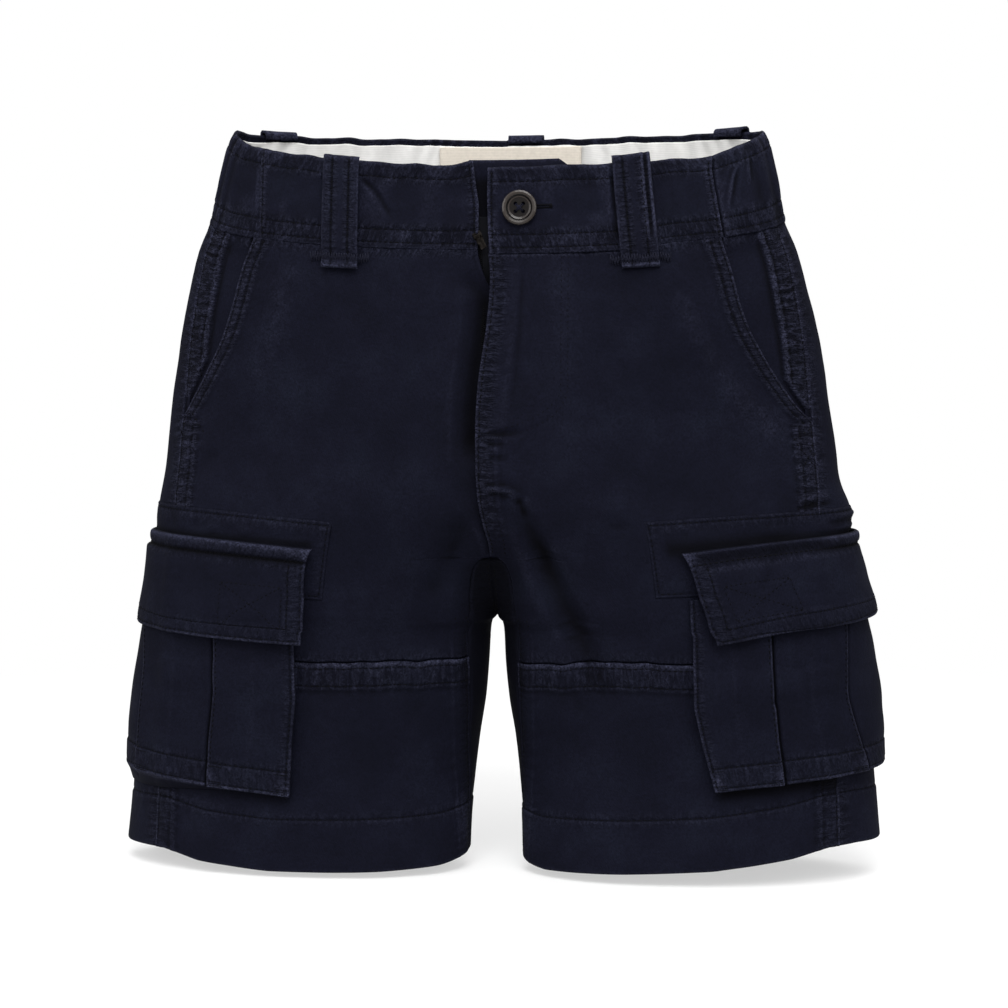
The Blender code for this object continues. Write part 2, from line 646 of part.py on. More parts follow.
def join(target, tools, operation):
    """Adds or cuts closed tools into a piece, and leaves the result as its mesh."""
    for tool in tools:
        change = target.modifiers.new("change", "BOOLEAN")
        change.operation = operation
        change.object = tool
    bpy.context.view_layer.update()
    shape = bpy.data.meshes.new_from_object(target.evaluated_get(bpy.context.evaluated_depsgraph_get()))
    target.modifiers.clear()
    target.data = shape
    for tool in tools:
        bpy.data.objects.remove(tool)


def make_button():
    frame = skin_frame(BUTTON["x"], BUTTON["drop"])
    points, faces = lathe(BUTTON["profile"], BUTTON["sides"])
    button = add_object("button", placed(points, frame, (0, 0, BUTTON["foot_off"])), faces, "button_resin")
    holes = []
    for x in (-1, 1):
        for y in (-1, 1):
            points, faces = lathe(((BUTTON["hole"] / 2, -1), (BUTTON["hole"] / 2, 4)), BUTTON["hole_sides"])
            shift = (x * BUTTON["hole_pitch"] / 2, y * BUTTON["hole_pitch"] / 2, BUTTON["foot_off"])
            holes.append(add_object("hole", placed(points, frame, shift), faces, "button_resin"))
    join(button, holes, "DIFFERENCE")


def turned_across(points):
    """Points of a solid turned about Z, laid over so that its axis runs across the zip."""
    return [Vector((p.z, p.x, p.y)) for p in points]


def make_zip():
    """The slider with its hinge pin, and the pull that hangs on the pin."""
    frame = skin_frame(SLIDER["x"], SLIDER["drop"], SLIDER["lean"])
    body_top = SLIDER["foot_off"] + SLIDER["wall"]
    points, faces = box((SLIDER["width"], SLIDER["length"], SLIDER["wall"]))
    for point in points:
        if point.y > 0:
            point.x *= 0.8          # the body narrows towards its foot
    shift = (0, SLIDER["length"] * 0.1, SLIDER["foot_off"] + SLIDER["wall"] / 2)
    slider = add_object("zip_slider", placed(points, frame, shift), faces, "dark_metal")
    lug_height = SLIDER["pin_off"] + 0.8 - body_top
    tools = []
    for end in (-1, 1):
        points, faces = box((SLIDER["lug"], SLIDER["lug_length"], lug_height + 0.5))
        shift = (end * (SLIDER["width"] - SLIDER["lug"]) / 2, 0, body_top - 0.5 + (lug_height + 0.5) / 2)
        tools.append(add_object("lug", placed(points, frame, shift), faces, "dark_metal"))
    reach_x = SLIDER["width"] / 2 - SLIDER["lug"] / 2
    points, faces = lathe(((SLIDER["pin_radius"], -reach_x), (SLIDER["pin_radius"], reach_x)), ROUND_SIDES)
    tools.append(add_object("pin", placed(turned_across(points), frame, (0, 0, SLIDER["pin_off"])),
                            faces, "dark_metal"))
    join(slider, tools, "UNION")

    origin, across, down, out = frame
    hinge = origin + out * SLIDER["pin_off"]
    at_hinge = (Vector((0, 0, 0)), across, down, out)
    half = PULL["width"] / 2
    points, faces = lathe(((PULL["eye_radius"], -half), (PULL["eye_radius"], half)), ROUND_SIDES)
    pull = add_object("zip_pull", placed(turned_across(points), at_hinge), faces, "dark_metal")
    blade_top = PULL["eye_radius"] + 0.2
    points, faces = box((PULL["blade_width"], PULL["length"] - blade_top, PULL["wall"]))
    blade = add_object("blade", placed(points, at_hinge, (0, (PULL["length"] + blade_top) / 2, 0)),
                       faces, "dark_metal")
    points, faces = box((PULL["neck_width"], PULL["eye_radius"] + 0.6, PULL["neck_wall"]))
    neck = add_object("neck", placed(points, at_hinge, (0, (PULL["eye_radius"] + 0.6) / 2 + 0.4, 0)),
                      faces, "dark_metal")
    join(pull, [neck, blade], "UNION")
    points, faces = lathe(((PULL["hole_radius"], -half - 1), (PULL["hole_radius"], half + 1)), ROUND_SIDES)
    hole = add_object("hole", placed(turned_across(points), at_hinge), faces, "dark_metal")
    join(pull, [hole], "DIFFERENCE")
    pull.location = hinge * MM
    return hinge, across


def main():
    for item in list(bpy.data.objects):
        bpy.data.objects.remove(item)
    for side in (1, -1):
        make_fronts(side)
        make_back(side)
        make_facing(side)
        make_backing(side)
        make_pocket(side)
        make_flap(side)
    make_waistband()
    label_edges = (LABEL["centre_x"] - LABEL["width"] / 2, LABEL["centre_x"] + LABEL["width"] / 2)
    label_drops = (LABEL["top"], LINING["middle"], LABEL["foot"])
    make_strip("label_patch", [(drop, *label_edges) for drop in label_drops], LABEL["steps"], False,
               LABEL["out"], LABEL["in"], "label_tape")
    make_strip("fly_shield", SHIELD["rows"], SHIELD["steps"], True, SHIELD["out"], SHIELD["in"], "navy_twill")
    make_strip("zip_tape", ZIP_TAPE["rows"], ZIP_TAPE["steps"], True, ZIP_TAPE["out"], ZIP_TAPE["in"],
               "zip_tape")
    make_loops()
    make_button()
    hinge, across = make_zip()
    print("zip pull hinge, metres:", tuple(round(v * MM, 6) for v in hinge),
          "axis:", tuple(round(v, 5) for v in across))


main()
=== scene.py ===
import math

import bmesh
import bpy
import numpy as np
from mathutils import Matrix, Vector


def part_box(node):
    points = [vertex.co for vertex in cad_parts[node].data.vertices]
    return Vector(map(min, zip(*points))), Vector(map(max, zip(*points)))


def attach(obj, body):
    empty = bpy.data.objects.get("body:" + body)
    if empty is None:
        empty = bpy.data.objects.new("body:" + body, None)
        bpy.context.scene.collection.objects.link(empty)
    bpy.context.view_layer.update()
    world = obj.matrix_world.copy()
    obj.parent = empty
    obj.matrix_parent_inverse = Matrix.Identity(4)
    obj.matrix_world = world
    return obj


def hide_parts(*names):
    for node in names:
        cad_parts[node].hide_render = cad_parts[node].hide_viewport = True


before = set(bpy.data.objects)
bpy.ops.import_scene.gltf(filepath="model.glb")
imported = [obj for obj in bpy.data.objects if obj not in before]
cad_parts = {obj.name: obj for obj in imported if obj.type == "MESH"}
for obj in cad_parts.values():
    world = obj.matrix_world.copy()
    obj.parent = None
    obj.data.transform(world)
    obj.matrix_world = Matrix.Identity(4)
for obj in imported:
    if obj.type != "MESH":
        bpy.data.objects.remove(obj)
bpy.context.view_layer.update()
print("frame loaded:", len(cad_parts), "nodes")

mm = 0.001                      # shapes are worked out in mm and degrees, and made in metres

body = {
    "waistSeam": 44, "mouthFoot": 143, "crotchFront": 208, "crotchFoot": 241, "thighSeam": 260,
    "hemStitch": 335, "hem": 361,
    "frontDip": 19.5, "backDip": 1.2, "dipFade": 150,
    "sideTilt": 1.5, "frontTilt": 2.5, "tiltStart": 200, "liftStart": 270, "liftFade": 60,
    # drop, side x, side y, inner x, inner y, front depth, back depth, front reach, back reach
    "levels": (
        (0, 129, -8, 0, -2, 44, 52, 90, 90), (7, 132.3, -9.3, 0, -2, 44.3, 52.3, 90, 90),
        (22, 136, -11, 0, -2, 45, 53, 90, 90),
        (45, 141.5, -12, 0, -2, 47, 55, 90, 90), (60, 147.5, -11, 0, -2, 48, 56, 90, 90),
        (80, 153, -9, 0, -2, 49.5, 58, 90, 90), (104, 158.5, -6, 0, -2, 51, 60, 90, 90),
        (134, 163.5, -3, 0, -2, 51.5, 62, 91, 90), (160, 167.5, 0, 0, -2, 51.5, 62.5, 99, 94),
        (180, 170.5, 1, 0, -2, 51, 62, 117, 102), (198, 173, 2, 0, -2, 50, 60, 136, 114),
        (211, 174.8, 2, 0, -2, 49, 58, 152, 125), (225, 176.8, 3, 0, -2, 48, 56, 165, 141),
        (235, 178.3, 3, 0.1, -1.5, 47.5, 54, 173, 159), (240.5, 179.1, 4, 0.4, -1, 47, 53, 180, 180),
        (243, 179.5, 4, 2.6, -0.5, 46.8, 52.6, 180, 180), (247, 180.1, 4, 3.4, 0, 46.5, 52, 180, 180),
        (262, 182.4, 5, 4.2, 0, 45.5, 50, 180, 180),
        (280, 185, 5, 5.8, 1, 44, 47, 180, 180), (300, 187, 5, 9, 2, 42.5, 44, 180, 180),
        (320, 188.4, 5, 11.4, 1, 41, 42, 180, 180), (340, 190, 5, 13.2, -2, 40, 41, 180, 180),
        (361, 192.3, 5, 14, -5, 39, 40, 180, 180)),
    # drop, angle
    "sideSeam": ((44, 12.8), (75, 15.5), (105, 17.5), (140, 20), (160, 22), (180, 26), (198, 31),
                 (225, 35), (262, 37), (335, 38.5), (361, 40)),
    "pocketMouth": {
        1: ((44, 38.4), (60, 38.6), (77, 38.4), (94, 37.2), (101, 36), (112, 33.6), (125, 29.6),
            (135, 25.4), (142, 20.4)),
        -1: ((44, 35.8), (58, 35.3), (78, 34.8), (99, 33.2), (117, 29.2), (131, 24.8), (137, 22.4),
             (142, 20.4))},
    # drop, x while the legs are joined; then drop, angle
    "archX": ((207, 0.4), (208.5, 4), (211, 7), (215, 9), (222, 10.3), (232, 11), (247, 12)),
    "inseam": ((208, 148.5), (218, 148), (230, 150), (247, 153.3), (251, 153.8), (266, 155),
               (295, 160.5), (335, 171.5), (361, 178)),
    # drop, x
    "flyEdge": ((0, -0.4), (25, 0), (45, 0.8), (60, 1.8), (90, 0), (105, -1.8), (122, -3.8),
                (145, -5), (160, -5), (178, -4.2), (192, -2), (203, 0), (208, 0)),
    "flyGap": ((0, 7.3), (12, 5.2), (22, 4), (36, 4.3), (46, 4.8), (56, 3.6), (66, 1), (74, 0.3), (208, 0.3)),
    # angle, lift of the hem on the left leg, on the right leg
    "hemLift": ((-180, 1.5, 3.5), (0, 10, 0), (30, 12, 2.5), (45, 12, 3.5), (60, 8, 0),
                (85, 3.6, -2), (115, 1.2, -1.2), (150, -1, 0), (166, 0, 2), (180, 1.5, 3.5)),
    # length round the body, lift of the seam across the thigh on the left leg, on the right leg
    "thighLift": ((60, 0, 0), (104, 2.5, 1.4), (128, 3.4, 1), (148, 3, 1.6), (169, 0.6, 1.2),
                  (191, -1, 1.2), (205, -1, 2)),
    "crotchRound": 9,           # degrees over which the cloth runs smoothly across the centre plane
}
levelNames = ("sideX", "sideY", "innerX", "innerY", "frontDepth", "backDepth", "frontReach", "backReach")


def smoothCurve(rows, at, column=1):
    # value on a smooth curve through the rows, with no overshoot between them
    table = np.asarray(rows, float)
    knots, values = table[:, 0], table[:, column]
    step = np.diff(knots)
    slope = np.diff(values) / step
    tangent = np.zeros(len(values))
    tangent[0], tangent[-1] = slope[0], slope[-1]
    for i in range(1, len(values) - 1):
        if slope[i - 1] * slope[i] > 0:
            before, after = 2 * step[i] + step[i - 1], step[i] + 2 * step[i - 1]
            tangent[i] = (before + after) / (before / slope[i - 1] + after / slope[i])
    inside = np.clip(at, knots[0], knots[-1])
    i = np.clip(np.searchsorted(knots, inside, side="right") - 1, 0, len(knots) - 2)
    t = (inside - knots[i]) / step[i]
    value = ((2 * t**3 - 3 * t**2 + 1) * values[i] + (t**3 - 2 * t**2 + t) * step[i] * tangent[i]
             + (3 * t**2 - 2 * t**3) * values[i + 1] + (t**3 - t**2) * step[i] * tangent[i + 1])
    return value + (at - inside) * np.where(at < knots[0], tangent[0], tangent[-1])


def tableAt(table, at):
    # each further column of the table, read at places in its first
    first, *others = np.array(table, float).T
    return [np.interp(at, first, column) for column in others]


def ease(t):
    t = np.clip(t, 0, 1)
    return t * t * (3 - 2 * t)


def bump(t):
    return np.exp(-np.square(t))


def rolled(away, wide):
    # how far a rolled edge has fallen: 1 at the edge, 0 from wide mm inside it
    return np.square(1 - np.clip(away / wide, 0, 1))


def sunk(away):
    # how deep a row of stitches lies at mm away from it
    return bump(away / 0.7)


fineDrops = np.arange(-14, 376, 0.25)
fineLevels = {name: smoothCurve(body["levels"], fineDrops, 1 + i) for i, name in enumerate(levelNames)}


def level(name, drop):
    return np.interp(drop, fineDrops, fineLevels[name])


def reachAt(drop, front):
    return np.where(front, level("frontReach", drop), level("backReach", drop))


def skin(angle, drop, side):
    # point of the cloth's face in mm
    angle, drop, side = np.broadcast_arrays(*[np.asarray(v, float) for v in (angle, drop, side)])
    angle = np.where(angle > 180, angle - 360, angle)
    angle = np.where(angle < -180, angle + 360, angle)
    front = angle >= 0
    limit = np.radians(reachAt(drop, front))
    turn = np.radians(np.abs(angle))
    across = turn > limit                       # past the centre plane
    turn = np.where(across, 2 * limit - turn, turn)
    sideX, innerX, innerY = level("sideX", drop), level("innerX", drop), level("innerY", drop)
    x = sideX - (sideX - innerX) / (1 - np.cos(limit)) * (1 - np.cos(turn))
    middle = innerY + (level("sideY", drop) - innerY) * (x - innerX) / (sideX - innerX)
    soft = np.radians(body["crotchRound"]) * ease((drop - 150) / 30) * ease((241 - drop) / 12)
    eased = np.maximum(limit - np.sqrt(np.square(limit - turn) + np.square(soft)), 0)
    eased = turn + (eased - turn) * ease(turn / 1.2)
    y = middle + np.where(front, -level("frontDepth", drop), level("backDepth", drop)) * np.sin(eased)
    dip = np.where(front, body["frontDip"], body["backDip"]) * np.sin(turn)
    tilt = body["sideTilt"] * np.cos(turn) - np.where(front, body["frontTilt"], 0) * np.sin(turn)
    z = (-drop - ease(1 - drop / body["dipFade"]) * dip
         + ease((drop - body["tiltStart"]) / (body["hem"] - body["tiltStart"])) * tilt)
    return np.stack([np.where(across, -x, x) * side, y, z], -1)


def outward(angle, drop, side):
    angle, drop, side = np.broadcast_arrays(*[np.asarray(v, float) for v in (angle, drop, side)])
    step = 1.5
    limit = reachAt(drop, angle >= 0)
    fold = (limit > 92) & (limit < 179.9) & (np.abs(angle) <= limit)
    low = np.where(fold, np.clip(angle - step, -limit, limit), angle - step)
    high = np.where(fold, np.clip(angle + step, -limit, limit), angle + step)
    across = skin(high, drop, side) - skin(low, drop, side)
    down = skin(angle, drop + step, side) - skin(angle, drop - step, side)
    normal = np.cross(across, down) * side[..., None]
    return normal / np.linalg.norm(normal, axis=-1, keepdims=True)


# Tables that turn an angle into u, the length along the cloth from the outline, and back again.
tableDrops = np.arange(-9, 373, 3.0)
tableAngles = np.linspace(-240, 240, 961)
tablePoints = skin(tableAngles[None], tableDrops[:, None], 1)
tableArcs = np.cumsum(np.linalg.norm(np.diff(tablePoints, axis=1, prepend=tablePoints[:, :1]), axis=2), 1)
tableArcs -= tableArcs[:, 480:481]
arcGrid = np.arange(-330, 331, 1.5)
tableBack = np.array([np.interp(arcGrid, arcs, tableAngles) for arcs in tableArcs])


def lookUp(table, columns, at, drop):
    r = np.clip((drop - tableDrops[0]) / 3, 0, len(tableDrops) - 1.001)
    c = np.clip((at - columns[0]) / (columns[1] - columns[0]), 0, len(columns) - 1.001)
    i, j = r.astype(int), c.astype(int)
    r, c = r - i, c - j
    return ((table[i, j] * (1 - c) + table[i, j + 1] * c) * (1 - r)
            + (table[i + 1, j] * (1 - c) + table[i + 1, j + 1] * c) * r)


def arcOf(angle, drop):
    angle, drop = np.broadcast_arrays(np.asarray(angle, float), np.asarray(drop, float))
    return lookUp(tableArcs, tableAngles, angle, drop)


def angleOf(u, drop):
    u, drop = np.broadcast_arrays(np.asarray(u, float), np.asarray(drop, float))
    return lookUp(tableBack, arcGrid, u, drop)


def angleAtX(x, drop, front=True):
    limit = np.radians(reachAt(drop, front))
    sideX, innerX = level("sideX", drop), level("innerX", drop)
    turn = np.arccos(np.clip(1 - (sideX - np.abs(x)) / ((sideX - innerX) / (1 - np.cos(limit))), -1, 1))
    return np.degrees(np.where(np.asarray(x) < 0, 2 * limit - turn, turn)) * (1 if front else -1)


def uAtX(x, drop, front=True):
    return arcOf(angleAtX(x, drop, front), drop)


def bySide(table, at, side):
    # a value from rows of a place, the left leg's value and the right leg's
    left, right = tableAt(table, at)
    return np.where(np.asarray(side) > 0, left, right)


def hemLift(angle, row, side):
    wrapped = np.where(angle < -180, angle + 360, np.where(angle > 180, angle - 360, angle))
    return ease((row - body["liftStart"]) / body["liftFade"]) * bySide(body["hemLift"], wrapped, side)


def thighLift(u, row, side):
    lift = bySide(body["thighLift"], u, side) + 0.45 * noiseLine(u / 7, 47)
    return lift * bump((row - body["thighSeam"]) / 26)


def place(side, u, row, height, lifted=True):
    # points on the cloth and the way out of it, for lengths u round the body and rows down it
    u, row, height = np.broadcast_arrays(*[np.asarray(v, float) for v in (u, row, height)])
    angle = angleOf(u, row)
    drop = row - hemLift(angle, row, side) - thighLift(u, row, side) if lifted else row
    normal = outward(angle, drop, side)
    return skin(angle, drop, side) + normal * height[..., None], normal


def noiseLine(t, seed):
    lattice = np.random.RandomState(seed).uniform(-1, 1, 256)
    t = np.asarray(t, float) + 1000
    i = np.floor(t).astype(int)
    f = ease(t - i)
    return lattice[i % 256] * (1 - f) + lattice[(i + 1) % 256] * f


def noiseSheet(a, b, seed):
    lattice = np.random.RandomState(seed).uniform(-1, 1, (64, 64))
    a, b = np.asarray(a, float) + 640, np.asarray(b, float) + 640
    i, j = np.floor(a).astype(int), np.floor(b).astype(int)
    f, g = ease(a - i), ease(b - j)
    i, j, k, m = i % 64, j % 64, (i + 1) % 64, (j + 1) % 64
    return ((lattice[i, j] * (1 - f) + lattice[k, j] * f) * (1 - g)
            + (lattice[i, m] * (1 - f) + lattice[k, m] * f) * g)


# Edges of the panels as lengths u, row by row.
edgeRows = np.arange(-8, 372, 0.25)
seamArc = arcOf(smoothCurve(body["sideSeam"], edgeRows), edgeRows)
mouthArc = {s: arcOf(smoothCurve(body["pocketMouth"][s], edgeRows), edgeRows) for s in (1, -1)}
mouthArc = {s: np.where(edgeRows < body["mouthFoot"], np.maximum(arc, seamArc), seamArc)
            for s, arc in mouthArc.items()}
inseamArc = np.where(edgeRows < 247, uAtX(smoothCurve(body["archX"], edgeRows), edgeRows),
                     arcOf(smoothCurve(body["inseam"], edgeRows), edgeRows))
flyX = smoothCurve(body["flyEdge"], edgeRows)
flyLap = 5 * ease((edgeRows - 62) / 12)         # how far the right front runs on under the left one
flyArc = {1: uAtX(flyX, edgeRows),
          -1: uAtX(smoothCurve(body["flyGap"], edgeRows) - flyX - flyLap, edgeRows)}
innerArc = {s: np.where(edgeRows > body["crotchFront"], inseamArc, flyArc[s]) for s in (1, -1)}
backArc = arcOf(-reachAt(edgeRows, False), edgeRows)
frontReachArc = arcOf(reachAt(edgeRows, True), edgeRows)
backHalf = -float(arcOf(-90, 22))               # from the outline to the centre back at the waist


def edge(table, row):
    return np.interp(row, edgeRows, table)


def bezier(places, count=22):
    places = np.array(places, float)
    n = len(places) - 1
    t = np.linspace(0, 1, count)[:, None]
    return sum(math.comb(n, i) * t**i * (1 - t)**(n - i) * places[i] for i in range(n + 1))


def clothLine(places, count=22, front=True):
    # a smooth line through places (x, drop), as places (u, drop)
    line = bezier(places, count)
    return np.stack([uAtX(line[:, 0], line[:, 1], front), line[:, 1]], -1)


# Creases, by leg and face: places (x, drop), width, depth, and the share over which they fade
creases = {
    (1, "front"): (
        (((15, 176), (21, 198), (34, 226), (46, 256), (66, 292)), 6.6, 3.1, 0.34),
        (((8, 182), (13, 200), (20, 222), (30, 250)), 5, -0.7, 0.3),
        (((30, 262), (44, 276), (52, 300)), 5, 0.7, 0.5),
        (((0.5, 174), (4, 171.5), (8, 176), (13, 171.5), (16, 180)), 1.5, -1.1, 0.12),
        (((13, 174), (17, 180), (19, 190)), 2.2, 0.9, 0.3),
        (((0, 146), (9, 148.5), (19, 144)), 1.7, 0.8, 0.3),
        (((0, 152), (5, 150.5), (11, 153)), 1.4, 0.5, 0.3),
        (((0, 159), (6, 157), (12, 160)), 1.5, 0.5, 0.3),
        (((62, 172), (92, 184), (128, 172)), 10, 0.9, 0.4),
        (((60, 182), (66, 192), (64, 204)), 8, 0.7, 0.4),
        (((17.6, 52), (16.8, 96), (12, 140)), 1.5, 0.4, 0.15),
        (((92, 76), (106, 118), (134, 144)), 5, -0.45, 0.3),
        (((146, 184), (156, 181), (168, 183)), 2, 0.9, 0.3),
        (((150, 189), (158, 187.5), (168, 189)), 1.8, 0.6, 0.3),
        (((44, 60), (70, 74), (92, 68)), 7, 0.4, 0.5),
        (((74, 270), (80, 300), (72, 334)), 9, 0.6, 0.4),
    ),
    (-1, "front"): (
        (((7, 179), (14, 198), (24, 220), (38, 240)), 6, 1.1, 0.3),
        (((10, 150), (46, 160), (88, 154)), 8, 0.4, 0.5),
        (((98, 66), (104, 90), (112, 114)), 6, -0.4, 0.4),
        (((36, 196), (64, 214), (96, 204)), 9, 0.5, 0.5),
        (((14, 70), (40, 92), (44, 128)), 9, 0.35, 0.5),
        (((128, 150), (140, 166), (158, 172)), 5, 0.5, 0.4),
        (((46, 268), (36, 286), (20, 296)), 8, 0.7, 0.4),
        (((70, 280), (60, 304), (64, 330)), 10, 0.4, 0.4),
    ),
    (1, "back"): (
        (((10, 196), (30, 214), (52, 240), (84, 262)), 7, 2.4, 0.3),
        (((24, 180), (62, 202), (104, 196)), 9, 1.5, 0.4),
        (((60, 84), (84, 120), (90, 160)), 11, 0.9, 0.5),
        (((60, 268), (70, 298), (64, 336)), 10, 0.9, 0.4),
        (((140, 96), (150, 130), (146, 164)), 8, 0.8, 0.4),
    ),
    (-1, "back"): (
        (((9, 200), (26, 218), (44, 246), (70, 258)), 7.5, 2.2, 0.3),
        (((30, 176), (70, 194), (118, 186)), 9, 1.4, 0.4),
        (((50, 92), (70, 118), (68, 150)), 10, 0.8, 0.5),
        (((84, 266), (78, 296), (88, 330)), 11, 0.9, 0.4),
        (((148, 84), (140, 120), (150, 150)), 8, 0.8, 0.4),
    ),
}
laidCreases = {side: [(clothLine(places, front=face == "front"), *rest)
                      for (own, face), rows in creases.items() if own == side for places, *rest in rows]
               for side in (1, -1)}


def creaseHeight(u, row, line, width, depth, fade):
    height = np.zeros(u.shape)
    reach = 4 * width
    low, high = line.min(0) - reach, line.max(0) + reach
    near = (u > low[0]) & (u < high[0]) & (row > low[1]) & (row < high[1])
    if not near.any():
        return height
    p = np.stack([u[near], row[near]], -1)
    away, turn, share = np.full(len(p), 1e9), np.ones(len(p)), np.zeros(len(p))
    for i in range(len(line) - 1):
        d = line[i + 1] - line[i]
        t = np.clip(((p - line[i]) @ d) / (d @ d), 0, 1)
        gap = p - line[i] - t[:, None] * d
        far = np.hypot(gap[:, 0], gap[:, 1])
        closer = far < away
        away = np.where(closer, far, away)
        turn = np.where(closer, np.sign(d[0] * gap[:, 1] - d[1] * gap[:, 0]), turn)
        share = np.where(closer, (i + t) / (len(line) - 1), share)
    across = away * turn / (width * (0.75 + 0.5 * share))
    shape = -bump(across) + 0.35 * bump((across - 2) / 1.3) + 0.18 * bump((across + 2.1) / 1.4)
    uneven = 1 + 0.35 * noiseLine(share * 7 + width, 5)
    height[near] = depth * shape * uneven * ease(share / fade) * ease((1 - share) / fade)
    return height


# Places where the cloth is rubbed paler: leg, places (x, drop), width, strength
patches = (
    (-1, ((97, 62), (103, 90), (112, 116)), 6, 0.18), (-1, ((118, 60), (124, 92), (140, 122)), 5, 0.2),
    (1, ((92, 76), (108, 118), (134, 144)), 5, 0.17), (1, ((122, 134), (134, 142), (148, 152)), 9, 0.14),
    (1, ((14, 52), (13, 96), (8, 141)), 2.2, 0.2), (1, ((34, 54), (38, 76), (34, 116)), 6, 0.1),
    (-1, ((150, 134), (148, 146), (151, 160)), 7, 0.22), (-1, ((140, 250), (150, 280), (150, 320)), 20, 0.12),
    (1, ((150, 60), (156, 110), (160, 150)), 8, 0.15),
)
laidPatches = {side: [(clothLine(places), *rest) for own, places, *rest in patches if own == side]
               for side in (1, -1)}


def rubbedPatches(side, u, row):
    total = np.zeros(u.shape)
    for line, width, strength in laidPatches[side]:
        away = np.full(u.shape, 1e9)
        for x, y in line:
            away = np.minimum(away, np.hypot(u - x, row - y))
        total += strength * bump(away / width)
    return total * (0.6 + 0.4 * noiseSheet(u / 3, row / 3, 99))


def gathers(side, u, row):
    # the elastic in the back half of the waistband draws it up in uneven upright folds
    w = side * (u + backHalf)
    drawn = 1 - ease((np.abs(w) - backHalf - 24) / 60)
    at = w / 11.5 + 0.9 * noiseLine(w / 26, 5) + 0.12 * noiseLine(row / 17, 6)
    ripple = np.cos(2 * np.pi * at) * (0.65 + 0.35 * noiseLine(w / 17, 7))
    uneven = 0.8 + 0.25 * noiseSheet(w / 20, row / 14, 9)
    return drawn * (0.75 * ripple + 0.35 * noiseLine(w / 5.2, 8)) * uneven


def looseCloth(side, u, row):
    # creases, broad unevenness, and the gathers that run on below the waistband
    seed = 11 if side > 0 else 31
    height = (0.5 * noiseSheet(u / 38, row / 46, seed) + 0.24 * noiseSheet(u / 15, row / 19, seed + 1)
              + 0.09 * noiseSheet(u / 6.5, row / 8, seed + 2))
    for crease in laidCreases[side]:
        height += creaseHeight(u, row, *crease)
    height += gathers(side, u, row) * np.exp(-np.clip(row - 44, 0, None) / 13) * 0.8
    if side > 0:            # the cloth bags out over the left cargo pocket
        height += 3.4 * bump((u - 2) / 17) * bump((row - 186) / 10)
    else:
        height += 1.6 * bump(u / 20) * bump((row - 188) / 14)
    return height + 0.25 * noiseLine(u / 4.6, seed + 3) * np.exp(-np.clip(row - 44, 0, None) / 5)


def puckers(along, away, band, seed, height=0.42, period=6.6, fade=7):
    # the broader ridges that a shrunken seam draws up across itself
    at = along / period + 0.8 * noiseLine(along / (2.6 * period), seed) + 0.1 * noiseLine(away / 9, seed + 1)
    ripple = np.cos(2 * np.pi * at) * (0.6 + 0.4 * noiseLine(along / 9.5, seed + 2))
    outer = np.clip(np.abs(away) - band, 0, None)
    return 0.55 * height * ripple * np.exp(-np.square(outer / fade)) * (0.55 + 0.45 * ease(away / 3))


def felled(away, band, rows, rise=0.7):
    # cloth folded double along an edge, with a groove at each row of stitches
    height = rise * (1 - ease((away - band) / 2.2)) - 0.35 * rolled(away, 1.1)
    for row in rows:
        height -= 0.4 * sunk(away - row)
    return height


def strip(away, band, fade=3.5):
    # 1 on a band beside an edge, fading out past it
    return ease((away + 0.6) / 0.8) * (1 - ease((away - band) / fade))


def marksOf(height, upright=0, levelSeam=0, wearAndShade=0):
    # what the cloth's material needs to know: rungs on upright seams, on level seams, and wear, which below
    # nothing is painted shade in folds, grooves and gaps
    ones = np.ones(height.shape)
    return np.stack([np.clip(v * ones, -1, 1) for v in (upright, levelSeam, wearAndShade)], -1)


seams = {"side": (1.5, 9), "mouth": (1.5, 6), "thigh": (2.9, 11.2), "inseam": (1.5, 8), "seat": (1.5, 8),
         "lap": 3}


def hemHeight(u, row, seed):
    below = ease((row - body["hemStitch"] + 0.4) / 1.6)
    edgeRound = rolled(body["hem"] - row, 1.2)
    return (0.4 * below - 0.4 * sunk(row - body["hemStitch"]) - 0.5 * edgeRound
            + puckers(u, row - body["hemStitch"], 1.5, seed, 0.25, 7.5, 6)
            + 0.3 * noiseLine(u / 13, seed + 5) * below)


def hemMarks(row):
    return 0.28 * strip(np.abs(row - body["hemStitch"]), 1, 4), 0.45 * bump((body["hem"] - row) / 0.9)


# drop, how far the fly's facing reaches in from the left front's edge
flyDepth = ((44, 39), (124, 39), (133, 37), (140, 31), (146.5, 18), (150, 3))


def flyRise(u, row, side):
    # the fly facing lies under the left front as far as the J-shaped row of stitches
    if side < 0:
        return 0
    into = edge(innerArc[1], row) - u
    depth, = tableAt(flyDepth, row)
    return np.where(row < 152, 0.25 * (1 - ease((into - depth) / 2.5)), 0)


def frontTuck(into, row):
    # the right front sinks in under the fly, leaving the slider clear above
    closed = ease((row - 52) / 26) * (1 - ease((row - 205) / 4)) * (1 - 0.6 * ease((row - 148) / 18))
    low = ease((row - 172) / 28)
    return closed * 5.2 * (1 - 0.35 * low) * (1 - ease((into - 5.5 + 1.5 * low) / (13 - 8.5 * low)))


def bandDroop(side, u, row):
    # the waistband hangs a little lower over the left front, from the fly to past its loop
    angle = angleOf(u, row)
    x = np.abs(skin(angle, row, side)[..., 0])
    return 2.4 * ease((90 - x) / 24) * ((side > 0) & (angle > 0))


# Where each cargo pocket ends: its drops at the front edge and at the outline, and that edge's angle.
pocketFoot = {1: ((318.5, 313.3), 83.6), -1: ((325, 320.3), 91.2)}


def cargoLine(line, angle, reach):
    # drop of a level line on a pocket, which bows from its front edge at angle reach to the outline
    front, outer = line
    share = (1 - np.cos(np.radians(np.clip(angle, 0, None)))) / (1 - np.cos(np.radians(reach)))
    return outer + (front - outer) * np.clip(share, 0, 2) ** 1.5


